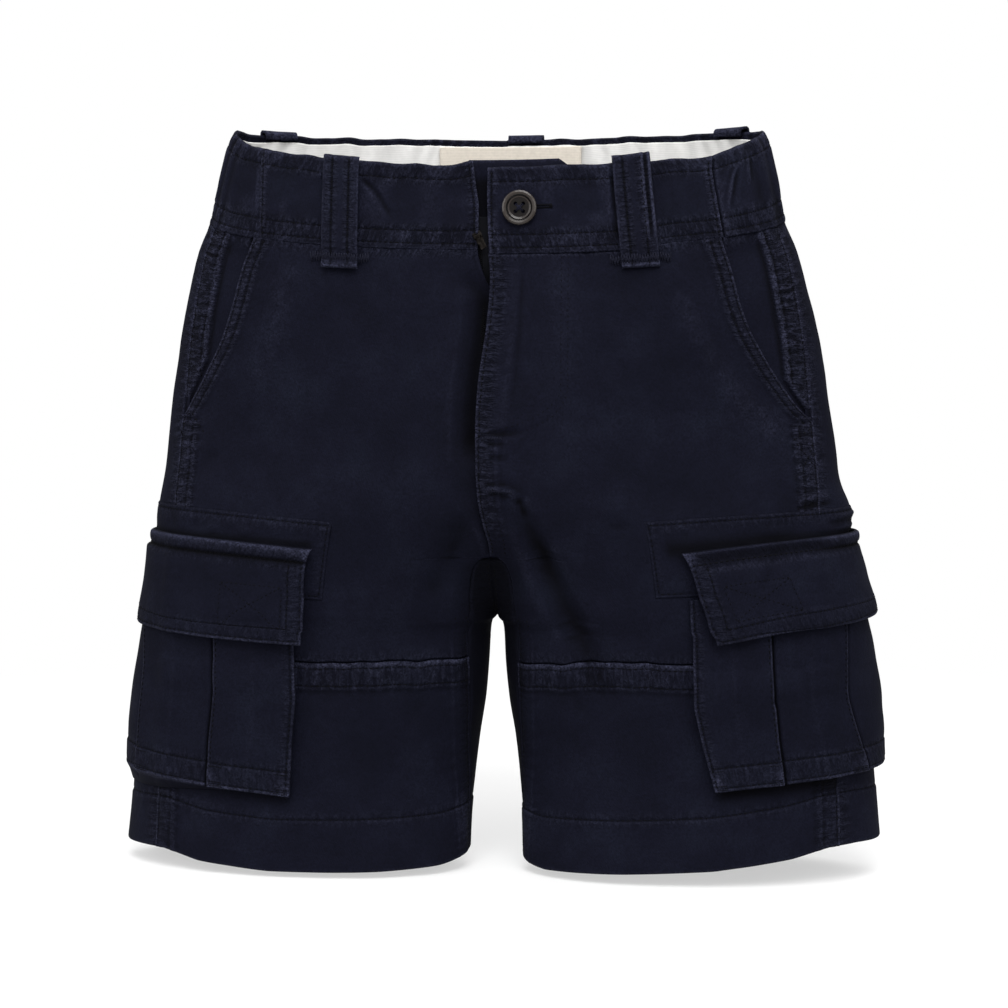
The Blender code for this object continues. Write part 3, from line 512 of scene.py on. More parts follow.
def paintedPocketShadow(side, u, row):
    # painted shadow on the cloth just under a cargo pocket's foot
    foot, reach = pocketFoot[side]
    angle = angleOf(u, row)
    below = row - hemLift(angle, row, side) - cargoLine(foot, angle, reach)
    strength, wide = (1, 5) if side > 0 else (0.5, 3.6)
    return strength * bump((below - 1) / wide) * ease((reach + 1 - angle) / 4)


def frontShape(side, u, row, lower=False):
    seed = 100 if side > 0 else 200
    out, into = u - edge(mouthArc[side], row), edge(innerArc[side], row) - u
    height = looseCloth(side, u, row)
    mouth = row < body["mouthFoot"]
    height += np.where(mouth, felled(out, 7.5, seams["mouth"], 0.5), felled(out, 10.5, seams["side"]))
    height += puckers(row, out, np.where(mouth, 6, 10), seed, np.where(mouth, 0.2, 0.45))
    upright = np.where(mouth, 0.6 * strip(out, 7), (0.85 - 0.4 * ease((row - 300) / 30)) * strip(out, 11))
    leg = ease((row - 184) / 22)
    low = ease((row - 232) / 24)
    height += low * (felled(into, 9.5, seams["inseam"], 0.35) + puckers(row, into, 9, seed + 10, 0.2))
    inner = ease((row - 207) / 8)           # beside the arch between the legs
    height -= inner * (1 - low) * 0.35 * rolled(into, 1.1)
    upright += 0.3 * low * strip(into, 5)
    wearAndShade = 0
    if side > 0:
        below = (1 - leg) * ease((row - 147) / 5)
        height += below * (felled(into, 9.5, (1.5, 8), 0.4) + puckers(row, into, 9, seed + 20, 0.25))
        height += (1 - leg) * (1 - ease((row - 147) / 5)) * felled(into, 3, (), 0.35)
        height += flyRise(u, row, side)
        height += puckers(row, into - 2, 3, seed + 30, 0.2, 6, 4) * (1 - leg)
        upright += (1 - leg) * 0.75 * strip(into, 4, 8)
    else:
        height -= frontTuck(into, row)
        # painted shade in the valley where the right front sinks under the fly
        wearAndShade = -0.13 * frontTuck(into, row)
        height += (1 - ease((row - 58) / 10)) * felled(into, 3, (2.5,), 0.2)
    height -= 1.4 * (1 - ease((row - 43.5 - bandDroop(side, u, row)) / 1.1))
    levelSeam = 0.5 * strip(row - 44, 2, 6)
    # painted shade in the troughs of the creases
    for crease in laidCreases[side]:
        wearAndShade += 0.28 * np.clip(creaseHeight(u, row, *crease) / 1.6, -1, 0)
    wearAndShade += 0.6 * bump((out - 0.2) / 0.8) + 0.45 * bump((into - 0.2) / 0.8) * (1 if side > 0 else low)
    # painted shade on the inner edge beside the arch between the legs
    wearAndShade -= 0.35 * inner * (1 - ease((into - 1) / 9))
    if lower:
        top = row - body["thighSeam"]
        height += felled(top, 12, seams["thigh"], 0.7) + puckers(u, top, 12, seed + 40, 0.4, 7.4, 6)
        height += hemHeight(u, row, seed + 50)
        levelSeam += (0.5 + 0.2 * noiseLine(u / 11, 48)) * strip(top, 11.5, 3)
        hemSeam, hemWear = hemMarks(row)
        rubbed = np.clip(0.5 + 0.6 * noiseLine(u / 5, seed + 46), 0.1, 0.9)
        levelSeam += hemSeam
        wearAndShade += rubbed * bump((top - 0.6) / 0.9) + hemWear
        wearAndShade += 0.5 * bump((top - 1.8) / 1.2) * bump(noiseLine(u / 2.6, seed + 44))
        # painted shadow under the cargo pocket's foot
        wearAndShade -= paintedPocketShadow(side, u, row)
        wearAndShade += 0.35 * bump((row - 343) / 14) * bump((into - 5) / 6)
    else:
        height -= 1.05 * ease((row - body["thighSeam"] + 0.9) / 1.0)
        height += puckers(u, body["thighSeam"] - row, 1, seed + 40, 0.3, 7.4, 7)
        levelSeam += 0.3 * strip(body["thighSeam"] - row, 2, 5)
    return height, marksOf(height, upright, levelSeam, wearAndShade + rubbedPatches(side, u, row))


def backShape(side, u, row):
    seed = 300 if side > 0 else 400
    away = edge(seamArc, row) - u               # below 0 where it runs on under the front
    height = looseCloth(side, u, row)
    height -= (1.2 - 0.4 * ease((row - 290) / 30)) * ease((0.2 - away) / 1.2)
    height += puckers(row, np.clip(away, 0, None), 1, seed, 0.4, 6.6, 7)
    upright = 0.5 * strip(away, 2, 7)
    centre = u - edge(backArc, row)
    seat = 1 - ease((row - 196) / 12)
    if side > 0:
        height += seat * (felled(centre, 9.5, seams["seat"], 0.65)
                          + puckers(row, centre, 9, seed + 20, 0.35))
        upright += 0.9 * seat * strip(centre, 10)
    else:
        height -= 1.3 * (1 - ease((centre - 0.1) / 1.1)) * (1 - ease((row - 138) / 10))
        upright += 0.3 * seat * strip(centre, 2, 6)
    calm = ease(np.clip(centre, 0, None) / 8) * (row > 196) + (row <= 196)
    height = height * calm - 1.4 * (1 - ease((row - 43.5) / 1.1))
    height += hemHeight(np.where(calm < 1, 0, u), row, seed + 50)
    hemSeam, hemWear = hemMarks(row)
    wearAndShade = hemWear + 0.5 * seat * bump((centre - 0.3) / 0.9) * (side > 0)
    return height, marksOf(height, upright, hemSeam + 0.5 * strip(row - 44, 2, 6), wearAndShade)


def tongueShape(side, u, row):
    # the part of the back that comes round the inside of the leg to the inseam
    away = u - edge(frontReachArc, row)
    under = ease((u - edge(inseamArc, row) + 0.4) / 1.2)
    height = -1.7 * (1 - under) + 0.25 * noiseSheet(u / 9, row / 12, 77) * ease(np.abs(away) / 8)
    height += hemHeight(u * 0, row, 350 if side > 0 else 450)
    # the tongue gets painted shade all over, standing for the shade between the legs; only the hem's edge is
    # rubbed paler
    return height, marksOf(height, 0.2 * (row < 241), 0, -0.75 + hemMarks(row)[1])


def bodyShape(side, u, row):
    # height of whichever panel is at the top
    front = frontShape(side, u, row)[0]
    lower = frontShape(side, u, row, True)[0]
    back = backShape(side, u, row)[0]
    front = np.where(row > body["thighSeam"], lower, front)
    return np.where(u > edge(seamArc, row), front, back)


def blurred(values, times):
    for _ in range(times):
        wide = np.pad(values, 1, mode="edge")
        values = (wide[:-2, 1:-1] + wide[2:, 1:-1] + wide[1:-1, :-2] + wide[1:-1, 2:] + 4 * values) / 8
    return values


def ridgeWearGrooveShade(height):
    # cloth proud of what is round it is rubbed a little paler, and grooves get painted shade
    proud = (height - blurred(height, 5)) / 0.3
    return 0.4 * np.clip(proud - 0.25, 0, 1) - 0.8 * np.clip(-proud - 0.15, 0, 1)


def between(start, end, step, near=(0, 0.4, 0.9, 1.5, 2.2, 3.1, 4.4, 5.8, 7.2, 8.6, 10, 11.6)):
    # places across a panel row by row, closer together beside its two edges
    near = np.array(near)
    wide = end - start
    way = np.sign(wide.mean())
    count = int(round((np.abs(wide).max() - 2 * near[-1]) / step))
    share = np.linspace(0, 1, count + 1)[1:-1]
    middle = (start + way * near[-1])[:, None] + share * (wide - 2 * way * near[-1])[:, None]
    return np.concatenate([start[:, None] + way * near, middle, end[:, None] - way * near[::-1]], 1)


def rowsFor(start, end, step, fine=()):
    # levels down a panel, closer together beside the given ones
    rows = [start, end]
    for at in (start, end, *fine):
        rows += [at + k for k in (-2.8, -1.9, -1.2, -0.6, 0, 0.6, 1.2, 1.9, 2.8) if start <= at + k <= end]
    rows = sorted(set(np.round(rows, 3)))
    filled = [rows[0]]
    for row in rows[1:]:
        if row - filled[-1] > 1.5 * step:
            filled += list(np.linspace(filled[-1], row, int(math.ceil((row - filled[-1]) / step)) + 1)[1:])
        elif row - filled[-1] > 0.25:
            filled.append(row)
    return np.array(filled)


def gridOf(placed, across, row, marks):
    points, normals = placed
    return {"points": points, "normals": normals, "uv": np.stack([across, -row], -1), "marks": marks}


def sheetGrid(side, u, rows, shape, put=place, start=0):
    row = np.broadcast_to(rows[:, None], u.shape)
    height, marks = shape(side, u, row)
    marks[..., 2] += ridgeWearGrooveShade(height)
    return gridOf(put(side, u, row, height), side * (u + start), row, marks)


def keepOwnSide(grid, side, rows=slice(None)):
    x = grid["points"][rows, :, 0]
    grid["points"][rows, :, 0] = side * np.maximum(x * side, 0)


def hexColour(text):
    # sRGB hex to the linear colour that a shader takes
    channels = [int(text[i:i + 2], 16) / 255 for i in (1, 3, 5)]
    return (*[c / 12.92 if c <= 0.04045 else ((c + 0.055) / 1.055) ** 2.4 for c in channels], 1)


def addNode(material, kind, settings=None, **links):
    # a node with its settings, and a link into each named socket; a number is a socket's place
    node = material.node_tree.nodes.new("ShaderNode" + kind)
    for name, value in (settings or {}).items():
        if isinstance(name, int) or name in node.inputs.keys():
            node.inputs[name].default_value = value
        else:
            setattr(node, name, value)
    for name, source in links.items():
        socket = node.inputs[int(name[1:]) if name[1:].isdigit() else name]
        material.node_tree.links.new(getattr(source, "outputs", [source])[0], socket)
    return node


def newMaterial(name):
    material = bpy.data.materials.new(name)
    material.use_nodes = True
    material.node_tree.nodes.clear()
    return material


def finishMaterial(material, shader):
    addNode(material, "OutputMaterial", Surface=shader)
    return material


clothLook = {
    # fold is the near-black colour of the painted shade in folds, grooves and gaps
    "navy": "#0d0e1a", "deep": "#0b0c17", "worn": "#3b3d51", "dusty": "#0f111d", "fold": "#030307",
    "twillPitch": 1.0,        # mm; the real rib is about 0.5, drawn coarser so that it shows
    "twillTurn": 32,          # degrees that the rib slants
    "crinkle": 3.0,           # mm across one small wrinkle from washing
    "mottle": 26,             # mm across one patch of uneven dye
    "fibre": 1.0,             # mm across one speck of yarn
    "rung": 1.7, "rungLength": 5.5,    # mm between the small rungs on a shrunken seam, and along one
    "waveScale": 0.314,       # a wave texture's scale for one line a metre
}


def twillMaterial(name, look):
    # Garment-washed cotton twill: a matt dyed cloth with a fine diagonal rib, patchy colour, small wash
    # wrinkles, rungs across its shrunken seams, edges rubbed to a paler blue, and near-black painted shade in
    # folds, grooves and the seam valleys between rungs.
    material = newMaterial(name)
    flat = addNode(material, "UVMap", {"uv_map": "cloth"})
    solid = addNode(material, "TexCoord").outputs["Object"]
    turned = addNode(material, "Mapping", {"Rotation": (0, 0, math.radians(look["twillTurn"]))}, Vector=flat)
    twillRib = addNode(material, "TexWave",
                       {"Scale": look["waveScale"] / (look["twillPitch"] * mm), "Distortion": 1.6,
                        "Detail": 2.0, "Detail Scale": 1.5}, Vector=turned)
    mottle = addNode(material, "TexNoise",
                     {"Scale": 1 / (look["mottle"] * mm), "Detail": 6.0, "Roughness": 0.62}, Vector=solid)
    crinkle = addNode(material, "TexNoise",
                      {"Scale": 1 / (look["crinkle"] * mm), "Detail": 4.0, "Roughness": 0.62,
                       "Distortion": 0.6}, Vector=solid)
    fibre = addNode(material, "TexNoise",
                    {"Scale": 1 / (look["fibre"] * mm), "Detail": 2.5, "Roughness": 0.75}, Vector=solid)
    attribute = addNode(material, "Attribute", {"attribute_name": "marks"})
    upright, levelSeam, wearAndShade = addNode(material, "SeparateXYZ", Vector=attribute.outputs["Vector"]).outputs
    rungs = []
    long, short = 1 / (look["rungLength"] * mm), 1 / (look["rung"] * mm)
    for seam, scale in ((upright, (long, short, 1)), (levelSeam, (short, long, 1))):
        stretched = addNode(material, "Mapping", {"Scale": scale}, Vector=flat)
        noise = addNode(material, "TexNoise",
                        {"Scale": 1.0, "Detail": 3.0, "Roughness": 0.6, "Distortion": 0.4}, Vector=stretched)
        sharp = addNode(material, "MapRange", {"From Min": 0.4, "From Max": 0.6}, Value=noise)
        rungs.append(addNode(material, "Math", {"operation": "MULTIPLY"}, n0=sharp, n1=seam))
    ladder = addNode(material, "Math", {"operation": "ADD"}, n0=rungs[0], n1=rungs[1])
    seamed = addNode(material, "Math", {"operation": "ADD"}, n0=upright, n1=levelSeam)
    # a seam's valleys between its rungs get painted shade
    seamValleyShade = addNode(material, "Math", {"operation": "SUBTRACT"}, n0=seamed, n1=ladder)
    # wear below nothing is painted shade
    folded = addNode(material, "Math", {"operation": "MULTIPLY", "use_clamp": True, 1: -1}, n0=wearAndShade)
    paintedShadeAmount = addNode(material, "Math", {"operation": "MULTIPLY_ADD", "use_clamp": True, 1: 0.5},
                   n0=seamValleyShade, n2=folded)
    tone = addNode(material, "ValToRGB", Fac=mottle)
    stops = tone.color_ramp.elements
    stops[0].position, stops[0].color = 0.3, hexColour(look["deep"])
    stops[1].position, stops[1].color = 0.7, hexColour(look["dusty"])
    stops.new(0.5).color = hexColour(look["navy"])
    ribbed = addNode(material, "MapRange", {"To Min": 0.93, "To Max": 1.07}, Value=twillRib.outputs["Fac"])
    speck = addNode(material, "MapRange", {"From Min": 0.3, "From Max": 0.7, "To Min": 0.72, "To Max": 1.34},
                    Value=fibre)
    weave = addNode(material, "Math", {"operation": "MULTIPLY"}, n0=ribbed, n1=speck)
    dyed = addNode(material, "Mix", {"data_type": "RGBA", "blend_type": "MULTIPLY", 0: 1}, n6=tone, n7=weave)
    patchy = addNode(material, "MapRange", {"From Min": 0.34, "From Max": 0.66}, Value=fibre)
    patchier = addNode(material, "MapRange", {"From Min": 0.3, "From Max": 0.6, "To Min": 0.35},
                       Value=crinkle)
    rungWear = addNode(material, "Math", {"operation": "MULTIPLY_ADD", 1: 0.5}, n0=ladder, n2=wearAndShade)
    dust = addNode(material, "MapRange", {"From Min": 0.45, "From Max": 0.75, "To Max": 0.07}, Value=mottle)
    dusted = addNode(material, "Math", {"operation": "ADD"}, n0=rungWear, n1=dust)
    broken = addNode(material, "Math", {"operation": "MULTIPLY"}, n0=patchy, n1=patchier)
    rubbed = addNode(material, "Math", {"operation": "MULTIPLY", "use_clamp": True}, n0=dusted, n1=broken)
    # the dyed colour goes towards the fold colour where painted shade is laid
    dyedWithPaintedShade = addNode(material, "Mix", {"data_type": "RGBA", 7: hexColour(look["fold"])}, n0=paintedShadeAmount,
                   n6=dyed.outputs[2])
    faded = addNode(material, "Mix", {"data_type": "RGBA", 7: hexColour(look["worn"])}, n0=rubbed,
                    n6=dyedWithPaintedShade.outputs[2])
    relief = addNode(material, "Bump", {"Strength": 0.5, "Distance": 0.5 * mm}, Height=crinkle)
    relief = addNode(material, "Bump", {"Strength": 1.0, "Distance": 0.8 * mm}, Height=ladder, Normal=relief)
    relief = addNode(material, "Bump", {"Strength": 0.6, "Distance": 0.12 * mm}, Height=weave, Normal=relief)
    shader = addNode(material, "BsdfPrincipled",
                     {"Roughness": 0.82, "Specular IOR Level": 0.06, "Sheen Weight": 0.006,
                      "Sheen Roughness": 0.5, "Sheen Tint": hexColour("#8a90ad")},
                     **{"Base Color": faded.outputs[2], "Normal": relief})
    return finishMaterial(material, shader)


def plainMaterial(name, hexText, roughness, metallic=0, grain=1.0, depth=0.05, spread=0.12,
                  rib=None, specular=0.5):
    # a finish with fine grain and slightly uneven colour; rib adds woven lines of that pitch in mm
    material = newMaterial(name)
    solid = addNode(material, "TexCoord").outputs["Object"]
    noise = addNode(material, "TexNoise", {"Scale": 1 / (grain * mm), "Detail": 4.0}, Vector=solid)
    tone = addNode(material, "MapRange",
                   {"From Min": 0.3, "From Max": 0.7, "To Min": 1 - spread, "To Max": 1 + spread},
                   Value=noise)
    if rib:
        flat = addNode(material, "UVMap", {"uv_map": "cloth"})
        lines = addNode(material, "TexWave", {"Scale": clothLook["waveScale"] / (rib * mm), "Distortion": 0.8,
                                              "bands_direction": "Y"}, Vector=flat)
        ribs = addNode(material, "MapRange", {"To Min": 0.93, "To Max": 1.05}, Value=lines.outputs["Fac"])
        tone = addNode(material, "Math", {"operation": "MULTIPLY"}, n0=tone, n1=ribs)
    colour = addNode(material, "Mix",
                     {"data_type": "RGBA", "blend_type": "MULTIPLY", 0: 1, 6: hexColour(hexText)}, n7=tone)
    relief = addNode(material, "Bump", {"Strength": 0.6, "Distance": depth * mm}, Height=tone)
    shader = addNode(material, "BsdfPrincipled",
                     {"Roughness": roughness, "Metallic": metallic, "Specular IOR Level": specular},
                     **{"Base Color": colour.outputs[2], "Normal": relief})
    return finishMaterial(material, shader)


# reach is in mm from the middle, and the stops are shares of it; the rings are painted light: highlights on
# the rim and a thin inner ring, shade in the groove and the dish
buttonRingPaint = {"reach": 10, "shadedDish": "#0b0807", "rim": (0.66, "#332e2b"),
              "rings": ((0.46, "#0f0b0a"), (0.52, "#38322f"), (0.56, "#020101"), (0.61, "#020101"))}


def paintedRingButtonMaterial(name, look):
    # Cast resin button: glossy, with colour in rings round its middle: a painted highlight on the rim and on
    # a thin inner ring, painted shade in the groove inside the rim, and painted shade darkening the dish.
    material = newMaterial(name)
    low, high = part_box("button")
    middle = (low + high) / 2
    solid = addNode(material, "TexCoord").outputs["Object"]
    flat = addNode(material, "VectorMath", {"operation": "MULTIPLY", 1: (1, 0, 1)}, n0=solid)
    away = addNode(material, "VectorMath", {"operation": "DISTANCE", 1: (middle[0], 0, middle[2])}, n0=flat)
    share = addNode(material, "MapRange", {"From Max": look["reach"] * mm}, Value=away.outputs["Value"])
    rings = addNode(material, "ValToRGB", Fac=share)
    stops = rings.color_ramp.elements
    stops[0].color = hexColour(look["shadedDish"])
    stops[1].position, stops[1].color = look["rim"][0], hexColour(look["rim"][1])
    for spot, text in look["rings"]:
        stops.new(spot).color = hexColour(text)
    shader = addNode(material, "BsdfPrincipled", {"Roughness": 0.26, "Specular IOR Level": 0.3},
                     **{"Base Color": rings})
    return finishMaterial(material, shader)


twill = twillMaterial("garmentWashedTwill", clothLook)
liningCotton = plainMaterial("liningPlainWeaveCotton", "#d2d1cf", 0.92, grain=2.5, depth=0.15,
                             spread=0.04, rib=0.9, specular=0.2)
labelTape = plainMaterial("wovenLabelTape", "#cec6ba", 0.8, grain=1.5, depth=0.08, spread=0.05, rib=0.8)
zipTapeCloth = plainMaterial("wovenZipTape", "#0a0b10", 0.9, grain=0.8, depth=0.1, rib=1.0, specular=0.1)
# the thread is near black, darker than the cloth: its own unfaded colour, with painted shade for the stitch
# holes and grooves
thread = plainMaterial("cottonSewingThread", "#040407", 0.85, grain=0.5, spread=0.3, specular=0.1)
paleThread = plainMaterial("rubbedCottonThread", "#191a27", 0.85, grain=0.5, spread=0.6, specular=0.1)
darkMetal = plainMaterial("blackenedBrass", "#2b2826", 0.24, metallic=1, grain=1.6, depth=0.03, spread=0.7)
buttonResin = paintedRingButtonMaterial("castPolyesterResin", buttonRingPaint)
print("materials made")


def addPiece(name, points, faces, *materials):
    mesh = bpy.data.meshes.new(name)
    mesh.from_pydata((points * mm).tolist(), [], faces.tolist())
    for material in materials:
        mesh.materials.append(material)
    mesh.shade_smooth()
    item = bpy.data.objects.new(name, mesh)
    bpy.context.scene.collection.objects.link(item)
    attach(item, "shorts")
    return item


def editMesh(mesh, change):
    work = bmesh.new()
    work.from_mesh(mesh)
    change(work)
    work.to_mesh(mesh)
    work.free()


def facesOf(grid):
    # quads of a grid of points, turned the way the cloth faces
    p = grid["points"]
    rows, columns = p.shape[:2]
    r, c = np.meshgrid(np.arange(rows - 1), np.arange(columns - 1), indexing="ij")
    first = (r * columns + c).ravel()
    quads = np.stack([first, first + 1, first + columns + 1, first + columns], 1)
    a, b = rows // 2, columns // 2
    way = np.cross(p[a, min(b + 1, columns - 1)] - p[a, b - 1], p[min(a + 1, rows - 1), b] - p[a - 1, b])
    return quads[:, ::-1] if way @ grid["normals"][a, b] < 0 else quads


def clothPiece(name, grids, wall, weld=False, material=twill):
    # a cloth piece from its grids, with a wall of the given thickness
    faces = [facesOf(grid) for grid in grids]
    start = np.cumsum([0] + [grid["points"][..., 0].size for grid in grids])
    item = addPiece(name, np.concatenate([grid["points"].reshape(-1, 3) for grid in grids]),
                    np.concatenate([quads + first for quads, first in zip(faces, start)]), material)
    corners = [grid["uv"].reshape(-1, 2)[quads.ravel()] * mm for grid, quads in zip(grids, faces)]
    layer = item.data.uv_layers.new(name="cloth")
    layer.data.foreach_set("uv", np.concatenate(corners).astype(np.float32).ravel())
    marks = np.clip(np.concatenate([grid["marks"].reshape(-1, 3) for grid in grids]), -1, 1)
    layer = item.data.attributes.new("marks", "FLOAT_VECTOR", "POINT")
    layer.data.foreach_set("vector", marks.astype(np.float32).ravel())
    if weld:
        editMesh(item.data, lambda work: bmesh.ops.remove_doubles(work, verts=work.verts[:], dist=0.02 * mm))
        item.data.shade_smooth()
    solid = item.modifiers.new("wall", "SOLIDIFY")
    solid.thickness = wall * mm
    solid.offset = -1
    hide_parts(name)
    threads = stitchesFor(name)


# Rows of stitches wait here until their piece is made, by the piece's name.
waiting = {}
threadSize = {"pitch": 2.7, "length": 1.9, "radius": 0.34, "rise": -0.02}


def addBeads(name, start, middle, end, normals, radius, pale=0):
    # each stitch is a short bead from start to end, thickest in its middle
    along = end - start
    along = along / np.maximum(np.linalg.norm(along, axis=1, keepdims=True), 1e-6)
    aside = np.cross(along, normals)
    rings = []
    for centre, size in ((start, 0.5), (middle, 1), (end, 0.5)):
        rings.append(np.stack([centre + normals * radius * size, centre + aside * radius * size,
                               centre - normals * radius * size, centre - aside * radius * size], 1))
    waiting.setdefault(name, []).append((np.stack(rings, 1), np.full(len(start), pale)))


def sew(name, points, normals, pitch=None, length=None, radius=None, rise=None):
    pitch, length = pitch or threadSize["pitch"], length or threadSize["length"]
    radius = radius or threadSize["radius"]
    rise = threadSize["rise"] if rise is None else rise
    run = np.concatenate([[0], np.cumsum(np.linalg.norm(np.diff(points, axis=0), axis=1))])
    count = int(run[-1] / pitch)
    if count < 1:
        return
    first = (np.arange(count) + 0.5) * run[-1] / count - length / 2

    def at(s, table):
        return np.stack([np.interp(s, run, table[:, k]) for k in range(3)], 1)

    out = at(first + length / 2, normals)
    out = out / np.linalg.norm(out, axis=1, keepdims=True)
    places = [at(first + length * share, points) + out * (rise + up)
              for share, up in ((0, -0.12), (0.5, 0.1), (1, -0.12))]
    addBeads(name, *places, out, radius)


def sewOn(name, side, u, row, shape, put=place, **sizes):
    u, row = np.broadcast_arrays(np.asarray(u, float), np.asarray(row, float))
    sew(name, *put(side, u, row, shape(side, u, row)[0]), **sizes)


def sewBeside(name, side, edgeArc, offs, start, end, shape, way=1):
    # rows of stitches down beside an edge, each off mm from it
    line = np.arange(start, end, 0.7)
    for off in offs:
        sewOn(name, side, edge(edgeArc, line) + way * off, line, shape)


def addTack(name, placed, pale):
    # close threads, each through its start, middle and end
    (start, _), (middle, _), (end, normals) = placed
    addBeads(name, start, middle + normals * 0.15, end, normals, 0.26, pale)


def barTack(name, side, u, row, shape, wide, tall, gap=0.8, pale=1):
    # close upright threads side by side
    u = u + np.arange(-wide / 2, wide / 2 + 0.01, gap)
    rows = [np.full(len(u), row + d) for d in (-tall / 2, 0, tall / 2)]
    addTack(name, [place(side, u, at, shape(side, u, at)[0] + 0.1) for at in rows], pale)


def stitchesFor(name):
    if name not in waiting:
        return None
    rings, pale = (np.concatenate(held) for held in zip(*waiting.pop(name)))
    faces = [(r + k, r + (k + 1) % 4, r + 4 + (k + 1) % 4, r + 4 + k) for r in (0, 4) for k in range(4)]
    faces += [(3, 2, 1, 0), (8, 9, 10, 11)]
    each = len(faces)
    faces = (np.array(faces)[None] + 12 * np.arange(len(rings))[:, None, None]).reshape(-1, 4)
    item = addPiece("stitches_" + name, rings.reshape(-1, 3), faces, thread, paleThread)
    editMesh(item.data, lambda work: bmesh.ops.recalc_face_normals(work, faces=work.faces[:]))
    item.data.polygons.foreach_set("material_index", np.repeat(pale, each).astype(np.int32))
    item.data.shade_smooth()
    return item


def sideName(side):
    return "left" if side > 0 else "right"


panels = {
    "step": 1.5, "backStep": 1.9, "wall": 0.9, "top": 41.5, "bandEdge": 44.6,
    "upperFine": (44.6, 143, 208, 208.3, 259.5), "lowerRows": (262.9, 271.2, 335),
    # each panel's flat cut in mm: width, length, and the share of that rectangle that it fills
    "upperFlat": (196, 232, 0.86), "lowerFlat": (200, 104, 0.95), "backFlat": (262, 330, 0.86),
    # short rows at the pocket mouth's foot, from one place to another: mm on from the edge, and drop
    "mouthPeak": {-1: (((0.5, 150), (6, 138)), ((6, 138), (13, 146)), ((9, 141), (17, 149))),
                  1: (((2, 145), (14, 151)), ((2, 152), (12, 166)), ((12, 152), (3, 165)))},
}


def lowerShape(side, u, row):
    return frontShape(side, u, row, True)


def makeUpperFront(side):
    piece = "front_upper_" + sideName(side)
    outer, inner = mouthArc[side], innerArc[side]
    rows = rowsFor(panels["top"], body["thighSeam"] + 4, panels["step"], panels["upperFine"])
    u = between(edge(outer, rows), edge(inner, rows), panels["step"])
    sewBeside(piece, side, outer, seams["side"], body["mouthFoot"], body["thighSeam"], frontShape)
    sewBeside(piece, side, outer, seams["mouth"], body["waistSeam"] + 1, body["mouthFoot"] + 1, frontShape)
    sewBeside(piece, side, inner, seams["inseam"], 238, body["thighSeam"], frontShape, -1)
    foot = edge(outer, 142)
    barTack(piece, side, foot + 5, 140.5, frontShape, 8, 2.2)
    for (a, b), (c, d) in panels["mouthPeak"][side]:
        sewOn(piece, side, np.linspace(foot + a, foot + c, 40), np.linspace(b, d, 40), frontShape)
    if side > 0:
        sewFly(piece)
    clothPiece(piece, [sheetGrid(side, u, rows, frontShape)], panels["wall"])


def sewFly(piece):
    # the J round the fly facing, its second row, the centre seam below it and the two bar tacks
    down = bezier(((39, 45), (39, 84), (39, 124)), 60)
    turn = bezier(((39, 124), (38, 136), (28, 144), (14, 148), (-3, 150)), 60)
    x, drop = np.concatenate([down[:-1], turn]).T
    for shift in (0, 3.2):      # rows of finer thread, half sunk in the cloth
        row = drop - shift * ease((drop - 120) / 20)
        sewOn(piece, 1, uAtX(np.where(x > 3, x - shift, x), row), row, frontShape, radius=0.2, rise=-0.08)
    sewBeside(piece, 1, innerArc[1], seams["inseam"], 151, 207, frontShape, -1)
    sewBeside(piece, 1, innerArc[1], (2,), 45, 150, frontShape, -1)
    for x, row, wide in ((6.4, 174.5, 12), (3, 149, 9)):
        barTack(piece, 1, uAtX(x, row), row, frontShape, wide, 1.8)


def makeLowerFront(side):
    piece = "front_lower_" + sideName(side)
    outer, inner = mouthArc[side], innerArc[side]
    rows = rowsFor(body["thighSeam"], body["hem"], panels["step"], panels["lowerRows"])
    u = between(edge(outer, rows), edge(inner, rows), panels["step"])
    sewBeside(piece, side, outer, seams["side"], body["thighSeam"], body["hem"] - 1, lowerShape)
    sewBeside(piece, side, inner, seams["inseam"], body["thighSeam"], body["hem"] - 1, lowerShape, -1)
    for row in panels["lowerRows"]:
        sewOn(piece, side, np.linspace(edge(outer, row) + 1, edge(inner, row) - 1, 300), row, lowerShape)
    clothPiece(piece, [sheetGrid(side, u, rows, lowerShape)], panels["wall"])


def makeBack(side):
    piece = "back_" + sideName(side)
    hem, lap = body["hemStitch"], seams["lap"]
    fine = panels["bandEdge"], body["crotchFoot"], hem
    rows = rowsFor(panels["top"], body["hem"], panels["backStep"], fine)
    centre = edge(backArc, rows)
    if side < 0:
        centre = centre - lap * (1 - ease((rows - 138) / 8))
    main = sheetGrid(side, between(edge(seamArc, rows) + lap, centre, panels["backStep"]), rows, backShape)
    # the right back runs on under the left one as far down as 140
    keepOwnSide(main, side, rows > (140 if side < 0 else -99))
    legRows = rows[rows > body["crotchFront"]]
    start, end = edge(frontReachArc, legRows)[:, None], edge(inseamArc, legRows)[:, None] - lap
    tongue = sheetGrid(side, start + np.linspace(0, 1, 15) * (end - start), legRows, tongueShape)
    keepOwnSide(tongue, side)
    legs = body["crotchFoot"] - 0.01        # from here down the two grids share an edge
    tongue["points"][legRows >= legs, 0] = main["points"][rows >= legs, -1]
    if side > 0:
        sewBeside(piece, side, backArc, seams["seat"], 46, 205, backShape)
    else:
        sewBeside(piece, side, backArc, (2.5,), 46, 200, backShape)
    sewOn(piece, side, np.linspace(edge(backArc, hem) + 1, edge(seamArc, hem) - 1, 400), hem, backShape)
    sewOn(piece, side, np.linspace(edge(frontReachArc, hem), edge(inseamArc, hem) + 1, 40), hem, tongueShape)
    sewBeside(piece, side, frontReachArc, (-1.6,), 212, 240, tongueShape)
    clothPiece(piece, [main, tongue], panels["wall"], weld=True)


facing = {"under": 10, "sunk": -1.9, "band": 12, "wall": 0.8, "foot": 139, "flat": (60, 96, 0.7),
          "near": (0, 0.5, 1, 1.5, 2.1, 3, 4)}


